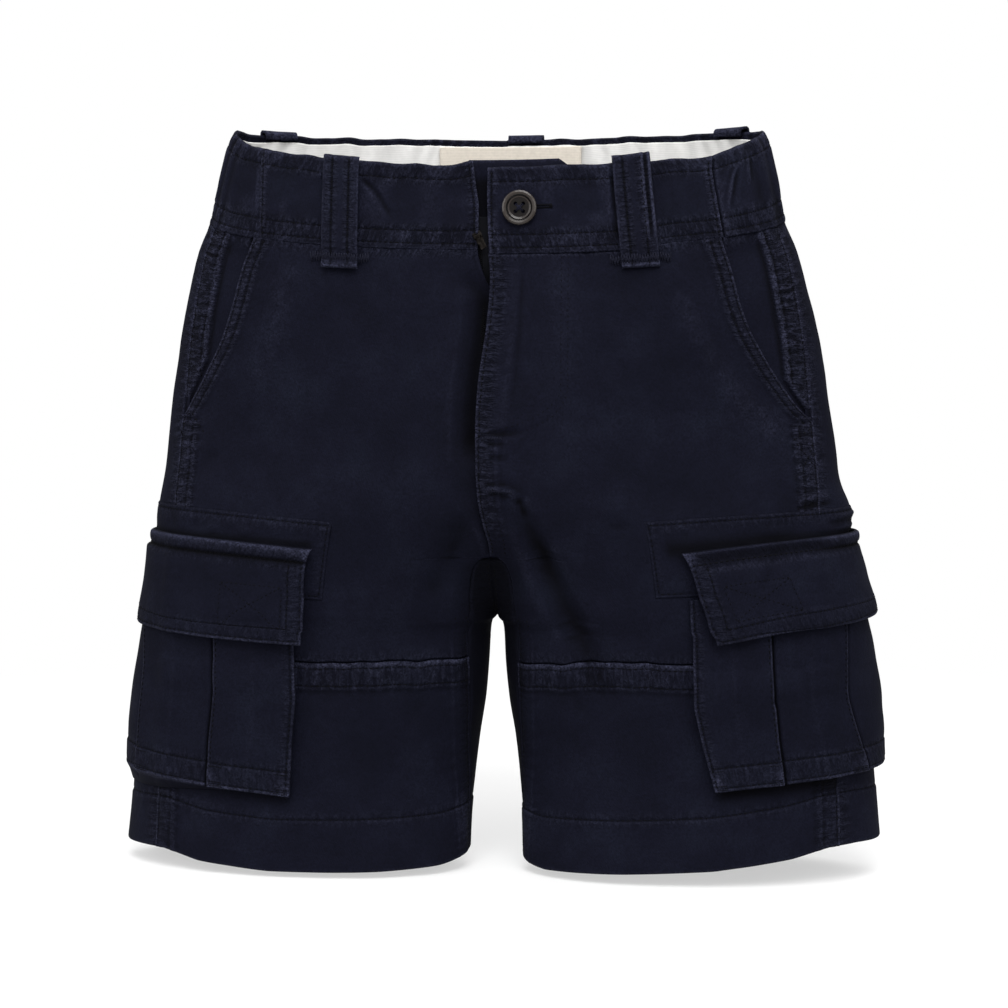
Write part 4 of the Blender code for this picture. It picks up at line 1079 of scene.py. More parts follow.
def facingShape(side, u, row):
    d, room = u - edge(seamArc, row), edge(mouthArc[side], row) - edge(seamArc, row)
    band = np.minimum(facing["band"], room - 6)
    raised = (1 - ease((d - band) / 3)) * ease((room - 5) / 4)
    seed = 500 if side > 0 else 600
    height = facing["sunk"] + 0.5 * looseCloth(side, u, row) * ease((44 + 30 - row) / 30 + 0.4)
    height += raised * (2.0 + puckers(row, d, 10, seed, 0.6))
    height -= 0.4 * raised * (sunk(d - 1.5) + sunk(d - 10))
    height += 1.3 * (1 - ease((row - 45) / 9)) * (1 - raised) - 1.2 * (1 - ease((row - 43.5) / 1.1))
    height = np.minimum(height, np.where(edge(mouthArc[side], row) - u < 1.5, facing["sunk"] + 0.3, 9))
    wearAndShade = 0.5 * raised * bump((d - 0.3) / 0.9) + 0.3 * raised * bump((d - band) / 1.5)
    return height, marksOf(height, raised, 0.5 * strip(row - 44, 2, 6), wearAndShade)


def makeFacing(side):
    piece = "hip_facing_" + sideName(side)
    rows = rowsFor(panels["top"], facing["foot"], 1.6, (panels["bandEdge"],))
    u = between(edge(seamArc, rows), edge(mouthArc[side], rows) + facing["under"], 1.5, facing["near"])
    sewBeside(piece, side, seamArc, (1.5, 10), 46, 124, facingShape)
    clothPiece(piece, [sheetGrid(side, u, rows, facingShape)], facing["wall"])


for s in (1, -1):
    makeUpperFront(s)
    makeLowerFront(s)
    makeBack(s)
    makeFacing(s)
print("panels made")

waistband = {"out": 0.8, "wall": 1.9, "sideSeamX": 112, "leftLean": 8, "foot": 44.6, "step": 1.25,
             "stitchRows": (7, 34, 41),
             "near": (0, 0.4, 0.9, 1.5, 2.2, 3.1, 4.4),
             "frontFlat": (124, 92, 0.5), "backFlat": (352, 92, 0.5),   # cut double its height, then folded
             "leftFolds": (((117.5, 7), (115, 14), (113.4, 22), (112.9, 33)),
                           ((122, 5), (122.2, 11), (123, 22)))}


def seamU(side, row):
    # the left side seam leans outwards on its way down the band
    lean = waistband["leftLean"] * np.clip(1 - row / waistband["foot"], 0, 1) if side > 0 else 0
    return uAtX(waistband["sideSeamX"] - lean, row)


def bandBase(side, u, row):
    w = side * (u + backHalf)
    height = waistband["out"] + gathers(side, u, row)
    height += 0.2 * bandDroop(side, u, row) - 0.35 * ease((row - 22) / 20)
    height += 0.35 * noiseSheet(w / 26, row / 22, 61) + 0.2 * noiseSheet(w / 7, row / 8, 62)
    height += 0.3 * np.clip(noiseSheet(w / 5, row / 11, 66) * noiseSheet(w / 30, row / 30, 67), 0, 1)
    height -= 0.8 * rolled(row, 1.6)
    height -= 0.45 * rolled(waistband["foot"] - row, 1.0)
    for at in waistband["stitchRows"]:
        height -= 0.4 * sunk(row - at)
    height += puckers(w, np.abs(row - 37.5), 4, 63, 0.3, 6.2, 4)
    height += puckers(w, np.abs(row - 4), 3, 64, 0.5, 7.3, 3)
    levelSeam = 0.6 * strip(np.abs(row - 37.5), 4.5, 4) + 0.5 * strip(np.abs(row - 5), 3, 4)
    wearAndShade = 0.45 * bump(row / 1.1) + 0.55 * bump((waistband["foot"] - row) / 0.9)
    wearAndShade += 0.2 * np.clip(noiseSheet(w / 7, row / 9, 68) - 0.1, -0.7, 0.6)
    return height, marksOf(height, 0, levelSeam, wearAndShade)


def bandFrontShape(side, u, row):
    height, marks = bandBase(side, u, row)
    out = u - seamU(side, row)
    into = edge(flyArc[side], row) - u
    height += felled(out, 3, (2,), 0.45) + felled(into, 4, (2,), 0.3 if side > 0 else 0.1)
    height -= 0.7 * bump((out + 0.5) / 1.6)
    # a sharp little crease slants across the right half beside its loop; the left one's is upright
    bends = ((61, 8), (55, 13), (51, 15), (44, 31)) if side < 0 else ((59, 5), (59.5, 18), (61.5, 42))
    height += creaseHeight(u, row, clothLine(bends, 14), 1.2, 0.8, 0.2)
    marks[..., 2] += (0.7 if side > 0 else 0.45) * bump((out - 0.3) / 0.8) + 0.7 * bump((into - 0.3) / 0.9)
    marks[..., 0] += 0.5 * strip(into, 3, 3) + 0.5 * strip(out, 3, 3)
    return height, marks


def bandBackShape(side, u, row):
    height, marks = bandBase(side, u, row)
    away = seamU(side, row) - u
    if side > 0:            # folds stand up where the elastic begins
        for bends in waistband["leftFolds"]:
            height -= creaseHeight(u, row, clothLine(bends, 10), 1.0, 0.8, 0.3)
        height -= (1.2 + 1.0 * ease(row / 8)) * ease((1.4 - away) / 1.8)
    else:
        height -= 1.6 * ease((0.6 - away) / 1.4)
    return height, marks


def bandRow(side, u, row):
    # the top edge waves a little where the elastic draws it, and sags in front of the left hip
    w = side * (u + backHalf)
    wave = 0.5 * noiseLine(w / 9, 71) + 0.35 * noiseLine(w / 24, 72)
    if side > 0:
        wave += 3.2 * bump((u - 42) / 26) + 1.2 * bump((u + 4) / 22)
        wave -= 1.7 * bump((uAtX(24, row) - u) / 30)
    else:
        wave -= 2 * ease((10 - edge(flyArc[-1], row) + u) / 10)
    return row + wave * (1 - np.clip(row / 44, 0, 1)) + bandDroop(side, u, row)


def placeBand(side, u, row, height):
    return place(side, u, bandRow(side, u, row), height)


def bandGrid(side, start, end, rows, shape, step, near):
    return sheetGrid(side, between(start, end, step, near), rows, shape, placeBand, backHalf)


def joinHalves(grids):
    # the two halves meet on the centre back
    middle = (grids[0]["points"][:, -1] + grids[1]["points"][:, -1]) / 2
    grids[0]["points"][:, -1] = grids[1]["points"][:, -1] = middle
    return grids


def makeWaistband():
    rows = rowsFor(0, waistband["foot"], waistband["step"], waistband["stitchRows"])
    size = waistband["step"], waistband["near"]
    line = np.arange(2, 43, 0.7)
    for side in (1, -1):
        piece = "waistband_front_" + sideName(side)
        for at in waistband["stitchRows"]:
            u = np.linspace(seamU(side, at) + 1, edge(flyArc[side], at) - 2, 240)
            sewOn(piece, side, u, at, bandFrontShape, placeBand)
        sewOn(piece, side, edge(flyArc[side], line) - 2, line, bandFrontShape, placeBand)
        sewOn(piece, side, seamU(side, line) + 2, line, bandFrontShape, placeBand)
        if side > 0:
            sewButtonhole(piece)
            sewButton(piece)
        grid = bandGrid(side, seamU(side, rows), edge(flyArc[side], rows), rows, bandFrontShape, *size)
        clothPiece(piece, [grid], waistband["wall"])
    for side in (-1, 1):
        for at in waistband["stitchRows"]:
            u = np.linspace(seamU(side, at) - 1, arcOf(-90, at), 400)
            sewOn("waistband_back", side, u, at, bandBackShape, placeBand)
    grids = [bandGrid(side, seamU(side, rows) + 3, arcOf(-90, rows), rows, bandBackShape, *size)
             for side in (-1, 1)]
    clothPiece("waistband_back", joinHalves(grids), waistband["wall"],
               weld=True)


def sewButtonhole(piece):
    # two close rows of upright threads either side of the slit, and a tack at its end
    for x, row, wide, tall in ((22.5, 20.7, 15, 1.0), (22.5, 22, 15, 1.0), (30.6, 21.3, 1.2, 2.6)):
        barTack(piece, 1, uAtX(x, 22), row, bandFrontShape, wide, tall, 0.5, 0)


def sewButton(piece):
    # the thread crosses from hole to hole in the button's dish
    low, high = (np.array(corner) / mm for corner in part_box("button"))
    middle = np.array([(low[0] + high[0]) / 2, low[1] + 1.0, (low[2] + high[2]) / 2])
    for way in (1, -1):
        for off in (-0.22, 0.22):
            end, aside = np.array([1.75, 0, way * 1.75]), np.array([off, 0, -way * off])
            places = [(middle + aside + step)[None] for step in (-end, np.array([0, -0.35, 0]), end)]
            addBeads(piece, *places, np.array([[0, -1.0, 0]]), 0.3, 1)


lining = {"out": -1.9, "wall": 1, "top": 3.4, "foot": 41, "frontAngle": 22, "flat": (330, 40)}


def liningShape(side, u, row):
    w = side * (u + backHalf)
    height = (lining["out"] + 0.85 * gathers(side, u, row) + 0.25 * noiseSheet(w / 12, row / 9, 81)
              + 0.3 * noiseLine(w / 3.4, 82) * ease((12 - row) / 10))
    return height, marksOf(height)


def makeLining():
    rows = rowsFor(lining["top"], lining["foot"], 1.6)
    start, end = arcOf(lining["frontAngle"], rows), arcOf(-90, rows)
    grids = [bandGrid(side, start, end, rows, liningShape, 1.5, (0, 1)) for side in (-1, 1)]
    clothPiece("waistband_lining", joinHalves(grids), lining["wall"],
               weld=True, material=liningCotton)


def stripGrid(spec, front, shape, downStep, step):
    # a strip over the centre plane, rows down and x across
    rows = rowsFor(spec["rows"][0][0], spec["rows"][-1][0], downStep)
    left, right = tableAt(spec["rows"], rows)
    x = left[:, None] + np.linspace(0, 1, int(max(right - left) / step) + 1) * (right - left)[:, None]
    row = np.broadcast_to(rows[:, None], x.shape)
    side = np.where(x < 0, -1, 1)
    angle = angleAtX(np.abs(x), row, front)
    height = shape(x, row)
    normals = outward(angle, row, side)
    return gridOf((skin(angle, row, side) + normals * height[..., None], normals), x, row, marksOf(height))


# rows are (drop, x of one edge, x of the other)
label = {"out": -3.3, "wall": 0.7, "rows": ((4, -35, 39), (34, -35, 39)), "flat": (74, 30)}
shield = {"out": -2.9, "wall": 1.1, "flat": (52, 144, 0.74),
          "rows": ((-2.5, -9, 34), (1.5, -11, 39.5), (20, -12, 39), (44, -12, 37), (70, -12, 32),
                   (95, -12, 25), (120, -11, 16), (140, -10, 7))}
zipTape = {"out": -1.5, "wall": 0.9, "rows": ((26, -11.5, 8), (60, -9.5, 8), (100, -9.5, 7), (140, -8, 4)),
           "flat": (19, 116), "toothPitch": 1.25,
           "middle": ((37, -4.1), (60, -2.5), (100, -1.5), (140, -2))}      # drop, x


def zipSink(row):
    return 4.2 * ease((row - 48) / 24)


def sewTeeth():
    # the teeth stand in two interlocked rows down the middle of the tape, below the slider
    drops = np.arange(40.5, 138, zipTape["toothPitch"] / 2)
    x = tableAt(zipTape["middle"], drops)[0] + 0.45 * (-1) ** np.arange(len(drops))
    side = np.where(x < 0, -1, 1)
    angle = angleAtX(np.abs(x), drops)
    normals = outward(angle, drops, side)
    points = skin(angle, drops, side) + normals * (zipTape["out"] + 0.3 - zipSink(drops))[:, None]
    aside = np.array([0.75, 0, 0])
    addBeads("zip_tape", points - aside, points, points + aside, normals, 0.4)


def labelShape(x, row):
    return label["out"] + 0.7 * gathers(np.sign(x + 1e-6), np.abs(x) - backHalf, row)


def shieldShape(x, row):
    return (shield["out"] - zipSink(row) + 0.25 * noiseSheet(x / 14, row / 18, 91)
            - 0.25 * rolled(row + 2.5, 5.5))


def makeStrips():
    grid = stripGrid(label, False, labelShape, 1.6, 1.6)
    clothPiece("label_patch", [grid], label["wall"],
               material=labelTape)
    grid = stripGrid(shield, True, shieldShape, 1.6, 1.5)
    row = -grid["uv"][..., 1]
    # the shield's top edge is rubbed paler, and below it the shield gets painted shade, standing for the
    # shade in the gap between the fronts
    grid["marks"][..., 2] += 0.6 * bump(row + 2.5) - 0.9 * ease((row - 4) / 5)
    clothPiece("fly_shield", [grid], shield["wall"])
    sewTeeth()
    grid = stripGrid(zipTape, True, lambda x, row: zipTape["out"] - zipSink(row), 1.6, 1.2)
    clothPiece("zip_tape", [grid], zipTape["wall"],
               material=zipTapeCloth)


makeWaistband()
makeLining()
makeStrips()
print("waistband, lining, label, shield and zip tape made")

loops = {
    "width": 18, "wall": 1.3, "top": -1.5, "foot": 57, "endOff": 1.2, "bow": 1.2, "flat": (18, 64),
    "overRim": ((2, -3.9), (0, -3.8), (-1.1, -3.4), (-1.8, -2.6), (-2.1, -1.4), (-2.1, 0.2), (-1.9, 1.4)),
    "places": (("loop_front_left", 1, True, 67.5, 73.2), ("loop_front_right", -1, True, 70, 70.3),
               ("loop_back_left", 1, False, 115, 117), ("loop_back_centre", 1, False, 9.6, 8.6),
               ("loop_back_right", -1, False, 113.2, 116)),
}


def makeLoop(name, side, front, topX, footX):
    rows = rowsFor(loops["top"], loops["foot"], 1.2, (50, 54.5))
    across = between(np.full(len(rows), -9.0), np.full(len(rows), 9.0), 0.9, (0, 0.3, 0.7, 1.2))
    seed = sum(ord(c) for c in name)
    folded = 1 if name == "loop_front_left" else 0      # this one has been pressed over askew
    droop = 1.6 * folded

    def shape(a, row):
        share = (row - loops["top"]) / (loops["foot"] - loops["top"])
        height = (loops["endOff"] + loops["wall"] + 0.3
                  + loops["bow"] * np.sin(np.pi * np.clip(share, 0, 1)) ** 0.6)
        height -= 0.7 * rolled(9 - np.abs(a), 1.2)
        height += 0.3 * bump((np.abs(a) - 6.3) / 1.3) - 0.45 * bump((np.abs(a) - 4) / 0.6)
        height += 0.25 * noiseSheet(a / 8, row / 9, seed) + 0.3 * noiseLine(row / 7, seed + 1)
        height += puckers(row, np.abs(a) - 4, 1, seed + 2, 0.2, 5, 4)
        upper = ease((46 - row) / 12)
        height += folded * upper * (1.1 * bump((a + 4.6) / 1.3) + 0.8 * bump((a + 8) / 1.1)
                                    - 0.9 * bump((a + 6.3) / 0.9) - 0.9 * bump((a - 5) / 5))
        height += 0.7 * bump((row - 55) / 1.5) - 0.55 * bump((row - 50.5 - droop) / 2.6)
        height -= 0.6 * rolled(row - loops["top"], 1.2) + 0.7 * rolled(loops["foot"] - row, 1.2)
        wearAndShade = 0.45 * bump((np.abs(a) - 8.7) / 0.7) + 0.9 * bump((row - loops["foot"] + 1) / 1.6)
        wearAndShade += 0.5 * bump((row + 1) / 1.2)
        wearAndShade += 0.6 * folded * upper * (bump((a + 4.6) / 0.8) + bump((a + 8.2) / 0.8))
        return height, marksOf(height, 0.55 * strip(np.abs(np.abs(a) - 4.5), 2, 2), 0, wearAndShade)

    def spot(a, row):
        share = (row - loops["top"]) / (loops["foot"] - loops["top"])
        return uAtX(topX + share * (footX - topX), row, front) + a * (1 if front else -1)

    row = np.broadcast_to(rows[:, None], across.shape)
    height, marks = shape(across, row)
    points, normals = place(side, spot(across, row), row, height)
    marks[..., 2] += ridgeWearGrooveShade(height)
    if not front:           # the back loops are folded over the rim and caught inside it
        over = np.array(loops["overRim"])
        a = np.broadcast_to(across[0], (len(over), across.shape[1]))
        turned = np.broadcast_to(over[:, :1], a.shape)
        out = over[:, 1:] + 0.85 * gathers(side, spot(a, 0 * a), 0 * a)
        rim, rimNormals = place(side, spot(a, turned), turned, out)
        points, normals = np.concatenate([rim, points]), np.concatenate([rimNormals, normals])
        # the part over the rim gets a painted highlight in the worn colour, standing for the top light on it
        marks = np.concatenate([np.broadcast_to([0.35, 0, 0.8], rim.shape), marks])
        across, row = np.concatenate([a, across]), np.concatenate([turned - over[:, 1:], row])
    line = np.arange(-0.5, 56.5, 0.6)
    for a in (-4, 4):
        sew(name, *place(side, spot(a, line), line, shape(a + 0 * line, line)[0]))
    # the bar tack is a zigzag, wider than the loop
    a = np.arange(-14.5, 14.6, 0.62)
    height = np.where(np.abs(a) < 8.9, shape(a, 50.5 + 0 * a)[0] + 0.2, 1.1)
    middle = 47.9 + droop + 0.7 * noiseLine(a / 1.3, seed + 7)
    ends = []
    for k in (0, 0.5, 1):
        slanted = middle + 5 * np.where(np.arange(len(a)) % 2 == 0, k, 1 - k)
        ends.append(place(side, spot(a + 0.42 * (k - 0.5), slanted), slanted, height))
    addTack(name, ends, 1)
    clothPiece(name, [gridOf((points, normals), across + seed, row, marks)], loops["wall"])


for loop in loops["places"]:
    makeLoop(*loop)
print("belt loops made")

cargo = {
    # Drops are at the piece's front edge and at the outline; edges are (drop, angle).
    1: {"backing": {"top": (188.5, 184.2), "foot": (225.5, 222), "edgeU": 117.6},
        "flap": {"top": (203.2, 196.8), "foot": (246.5, 238.3),
                 "edge": ((204, 80.4), (224, 80.8), (246, 78.4))},
        "pocket": {"top": (226, 221), "foot": pocketFoot[1][0],
                   "edge": ((225, 83.6), (249, 85.6), (277, 87.2), (297, 86), (318, 83.6)),
                   # share of the way down, place of the first fold, of the second
                   "folds": ((0, 37.2, 78), (0.2, 37.3, 78), (0.6, 38, 75), (1, 33.2, 77.5))},
        "underFoot": (-5, -7), "box": (13, 45, 18, 36), "sideOff": 0.3},
    -1: {"backing": {"top": (190, 184.6), "foot": (228.5, 225), "edgeU": 118.6},
         "flap": {"top": (202.8, 198.5), "foot": (249, 246.5),
                  "edge": ((204, 85.6), (227, 89.6), (249, 91.2))},
         "pocket": {"top": (227, 222), "foot": pocketFoot[-1][0],
                    "edge": ((227, 87.5), (251, 88.4), (276, 90.4), (301, 90.8), (324, 91.2)),
                    "folds": ((0, 41, 90.5), (0.3, 41.5, 89.5), (0.75, 42, 87), (1, 42, 87))},
         "underFoot": (0.8, 7.5), "box": (11, 42, 19, 38), "sideOff": -0.4},
    "pocketOff": ((0, 2.4), (0.16, 3), (0.32, 4), (0.52, 4.8), (0.78, 5), (1, 4.4)),
    "flapOff": ((0, 4.6), (0.2, 5.2), (0.6, 6.7), (1, 8)),
    "tall": {"backing": 38, "pocket": 95, "flap": 46}, "width": 126, "flapOver": 1.5,
    "pleat": 1.5, "pleatAt": (42, 84),
    "backingFlat": (128, 44), "pocketFlat": (150, 118), "flapFlat": (129.5, 54),
    "backingNear": (0, 0.5, 1.1, 1.8, 2.6, 3.6), "boxStitch": {"pitch": 2.3, "length": 1.7, "radius": 0.24},
    "cornerStitch": {"pitch": 0.8, "length": 0.75, "radius": 0.28},
    "hemStitches": (2, 12), "edgeStitches": (1.8, 8),       # mm up from the foot, and in from the edge
    "flapNear": (0, 0.4, 0.9, 1.5, 2.2, 3.1, 4.4, 6, 7.2, 8, 8.8, 9.6),
}


def cargoSpot(side, part, s, share):
    # u and drop of a place s mm back from the piece's front edge and a share of the way down
    spec = cargo[side][part]
    drop = spec["top"][0] * (1 - share) + spec["foot"][0] * share
    if "edge" in spec:
        front, = tableAt(spec["edge"], drop)
    else:
        front = angleOf(spec["edgeU"] + 0 * drop, drop)
    if "folds" in spec:
        one, two = tableAt(spec["folds"], share)
        s = np.where(s < 42, s * one / 42, np.where(s < 84, one + (s - 42) * (two - one) / 42, two + s - 84))
    angle = angleOf(arcOf(front, drop) - s, drop)
    top, foot = cargoLine(spec["top"], angle, front), cargoLine(spec["foot"], angle, front)
    drop = top + share * (foot - top)
    return arcOf(angle, drop), drop


def cargoGrid(side, part, t, wide, step, near, shape):
    # rows t mm down the piece, running from its front edge to wide mm behind it
    s = between(np.zeros(len(t)), np.full(len(t), float(wide)), step, near)
    share = np.broadcast_to(t[:, None] / cargo["tall"][part], s.shape)
    u, drop = cargoSpot(side, part, s, share)
    height, marks = shape(s, share)
    marks[..., 2] += ridgeWearGrooveShade(height)
    placed = place(side, u, drop, height + blurred(underneath(side, u, drop), 3), lifted=False)
    return gridOf(placed, s * side, drop, marks)


def sewCargo(piece, side, part, s, t, shape, **sizes):
    s, share = np.broadcast_arrays(np.asarray(s, float), np.asarray(t, float) / cargo["tall"][part])
    u, drop = cargoSpot(side, part, s, share)
    base = np.convolve(np.pad(underneath(side, u, drop), 4, mode="edge"), np.full(9, 1 / 9), "valid")
    sew(piece, *place(side, u, drop, shape(s, share)[0] + base, lifted=False), **sizes)


def underneath(side, u, drop):
    angle = angleOf(u, drop)
    return bodyShape(side, u, drop + hemLift(angle, drop, side))


def makeBacking(side):
    piece = "cargo_backing_" + sideName(side)
    tall = cargo["tall"]["backing"]

    def shape(s, share):
        t = share * tall
        edgeAway = np.minimum(np.minimum(s, t), tall - t)
        height = 0.6 - 0.5 * rolled(edgeAway, 1.4) - 0.4 * sunk(edgeAway - 2)
        height += puckers(s, t, 3, 700 + side, 0.25, 6, 5)
        height += 0.15 * noiseSheet(s / 12, t / 9, 702 + side)
        for at in (4, 10):          # short folds where the cloth bags over the patch
            height += (side > 0) * 0.9 * bump((t - at) / 1.6) * ease((s - 86) / 20)
        height -= 0.35 * noiseSheet(s / 9, t / 4, 704 + side) * ease((14 - t) / 4)
        # painted shadow on the patch just above the flap's top edge
        flapTop = 15.1 - 2.3 * ease(s / 110) if side > 0 else 12.6 + 1.2 * ease(s / 110)
        wide = 1.8 + 2.4 * (1 - ease((s - 60) / 25)) if side > 0 else 1.8
        paintedFlapShadow = -0.9 * bump((t - flapTop + 0.6) / wide) * ease((s - 6) / 5)
        return height, marksOf(height, 0.15 * strip(s, 4), 0.3 * strip(t, 4, 5), paintedFlapShadow)

    for line in ((np.linspace(2, 126, 260), 2), (2, np.linspace(2, tall - 2, 60)),
                 (np.linspace(2, 14, 40), tall - 2)):
        sewCargo(piece, side, "backing", *line, shape)
    grid = cargoGrid(side, "backing", rowsFor(0, tall, 1.6, (2,)), cargo["backingFlat"][0], 1.6,
                     cargo["backingNear"], shape)
    clothPiece(piece, [grid], 1.0)


def makePocket(side):
    piece = "cargo_pocket_" + sideName(side)
    tall, width, folds = cargo["tall"]["pocket"], cargo["width"], cargo["pleatAt"]
    seed = 720 + side

    def shape(s, share):
        t = share * tall
        section = np.where(s < folds[0], s, np.where(s < folds[1], s - folds[0], s - folds[1])) / folds[0]
        foldAway = np.where(s <= folds[0], folds[0], np.where(s <= folds[1], folds[1], width)) - s
        height, = tableAt(cargo["pocketOff"], share)
        height *= 1 + cargo[side]["sideOff"] * ease((s - 50) / 60) * bump((share - 0.45) / 0.6)
        height += cargo["pleat"] * np.clip(section, 0, 1) ** 1.6
        height -= 0.5 * rolled(foldAway, 1.0) * (s < 84.01)
        height += 0.4 * noiseSheet(s / 24, t / 26, seed) + 0.2 * noiseSheet(s / 9, t / 11, seed + 3)
        for fold in folds:          # a dark gap runs down behind each fold, a pressed line between them
            height -= 1.1 * bump((s - fold - 0.7) / 0.6)
            height += 0.15 * bump(s - fold + 21)
        height += 0.45 * ease((12.5 - (tall - t)) / 1.5)
        height += puckers(s, tall - t, 11, seed + 6, 0.25, 6.4, 5)
        for at in cargo["hemStitches"]:
            height -= 0.4 * sunk(tall - t - at)
        height += 0.25 * (1 - ease((s - 8.5) / 2)) - 0.4 * sunk(s - 2)
        height -= 0.5 * rolled(s, 1.0)
        height -= 0.5 * rolled(tall - t, 1.1)
        broken = 0.55 + 0.7 * noiseLine(t / 11, seed + 12) + 0.4 * noiseLine(s / 9, seed + 13)
        corners = bump((s - 3) / 3) + bump((s - 40) / 2) + 0.6 * bump((s - 82) / 2)
        wearAndShade = (0.6 * bump((s - 0.2) / 0.8) + 0.55 * bump((foldAway - 0.2) / 0.8) * (s < 84.01)
                + 0.9 * bump((tall - t - 0.5) / 1.1) + 0.9 * bump((tall - t - 4) / 4) * corners)
        wearAndShade *= np.clip(broken, 0.15, 1)
        wearAndShade += 0.06 * (bump(s - 21) + bump(s - 63))
        # painted shade in the gap behind each fold
        for fold in folds:
            wearAndShade -= 0.9 * bump((s - fold - 0.8) / 0.7)
        return height, marksOf(height, 0.35 * strip(s, 4), 0.35 * strip(tall - t, 12.5, 4), wearAndShade)

    t = rowsFor(0, tall, 1.5, (tall - 12, tall - 2))
    nearFold = np.array([-1.4, -0.8, -0.4, 0, 0.2, 0.6, 1, 1.6])
    steps = np.concatenate([[0, 0.4, 0.9, 1.5, 2.2, 3.2], np.arange(4.6, 40, 1.2), folds[0] + nearFold,
                            np.arange(44.6, 82, 1.2), folds[1] + nearFold, np.arange(86.6, 123, 1.5),
                            [123.6, 124.6, 125.4, width]])
    s = np.broadcast_to(steps, (len(t), len(steps)))
    share = np.broadcast_to(t[:, None] / tall, s.shape)
    height, marks = shape(s, share)
    marks[..., 2] += ridgeWearGrooveShade(height)
    base = blurred(underneath(side, *cargoSpot(side, "pocket", s, share)), 3)
    face, = tableAt(cargo["pocketOff"], share)
    # side walls and a bottom wall go back to the leg: two more columns each side, two more rows
    s = np.broadcast_to([2.4, 0.2, *steps, 125.8, 123.6], (len(t) + 2, len(steps) + 4))
    share = np.pad(share, ((0, 2), (2, 2)), mode="edge")
    marks = np.pad(marks, ((0, 2), (2, 2), (0, 0)))
    wall = [base[:, :1] + 0.3 + face[:, :1] * k for k in (0.08, 0.5)]
    wallEnd = [base[:, -1:] + 0.3 + face[:, -1:] * k for k in (0.5, 0.08)]
    height = np.concatenate([*wall, height + base, *wallEnd], 1)
    foot = np.pad(base[-1:], ((0, 0), (2, 2)), mode="edge") + 0.3
    height = np.concatenate([height, foot + face[-1, 0] * 0.55, foot + face[-1, 0] * 0.15])
    under = cargo[side]["underFoot"]
    lower = np.zeros(s.shape)
    lower[-2:] = (under[0] + (under[1] - under[0]) * ease((s[-1] - 20) / 70)) * np.array([[0.35], [1]])
    u, drop = cargoSpot(side, "pocket", s, share)
    drop += lower
    grid = gridOf(place(side, u, drop, height, lifted=False), s * side, drop, marks)
    sewCargo(piece, side, "pocket", 2, np.linspace(2, tall - 2, 200), shape)
    for at in cargo["hemStitches"]:
        sewCargo(piece, side, "pocket", np.linspace(2, width - 2, 400), tall - at, shape)
    for at in folds:
        sewCargo(piece, side, "pocket", at - 1.8, np.linspace(2, tall - 13, 200), shape)
    for a, b in ((1, 8), (34, 41), (76, 83)):
        for at in (1.2, 3.2, 10.6):
            sewCargo(piece, side, "pocket", np.linspace(a, b, 30), tall - at, shape, **cargo["cornerStitch"])
    clothPiece(piece, [grid], 1.0)


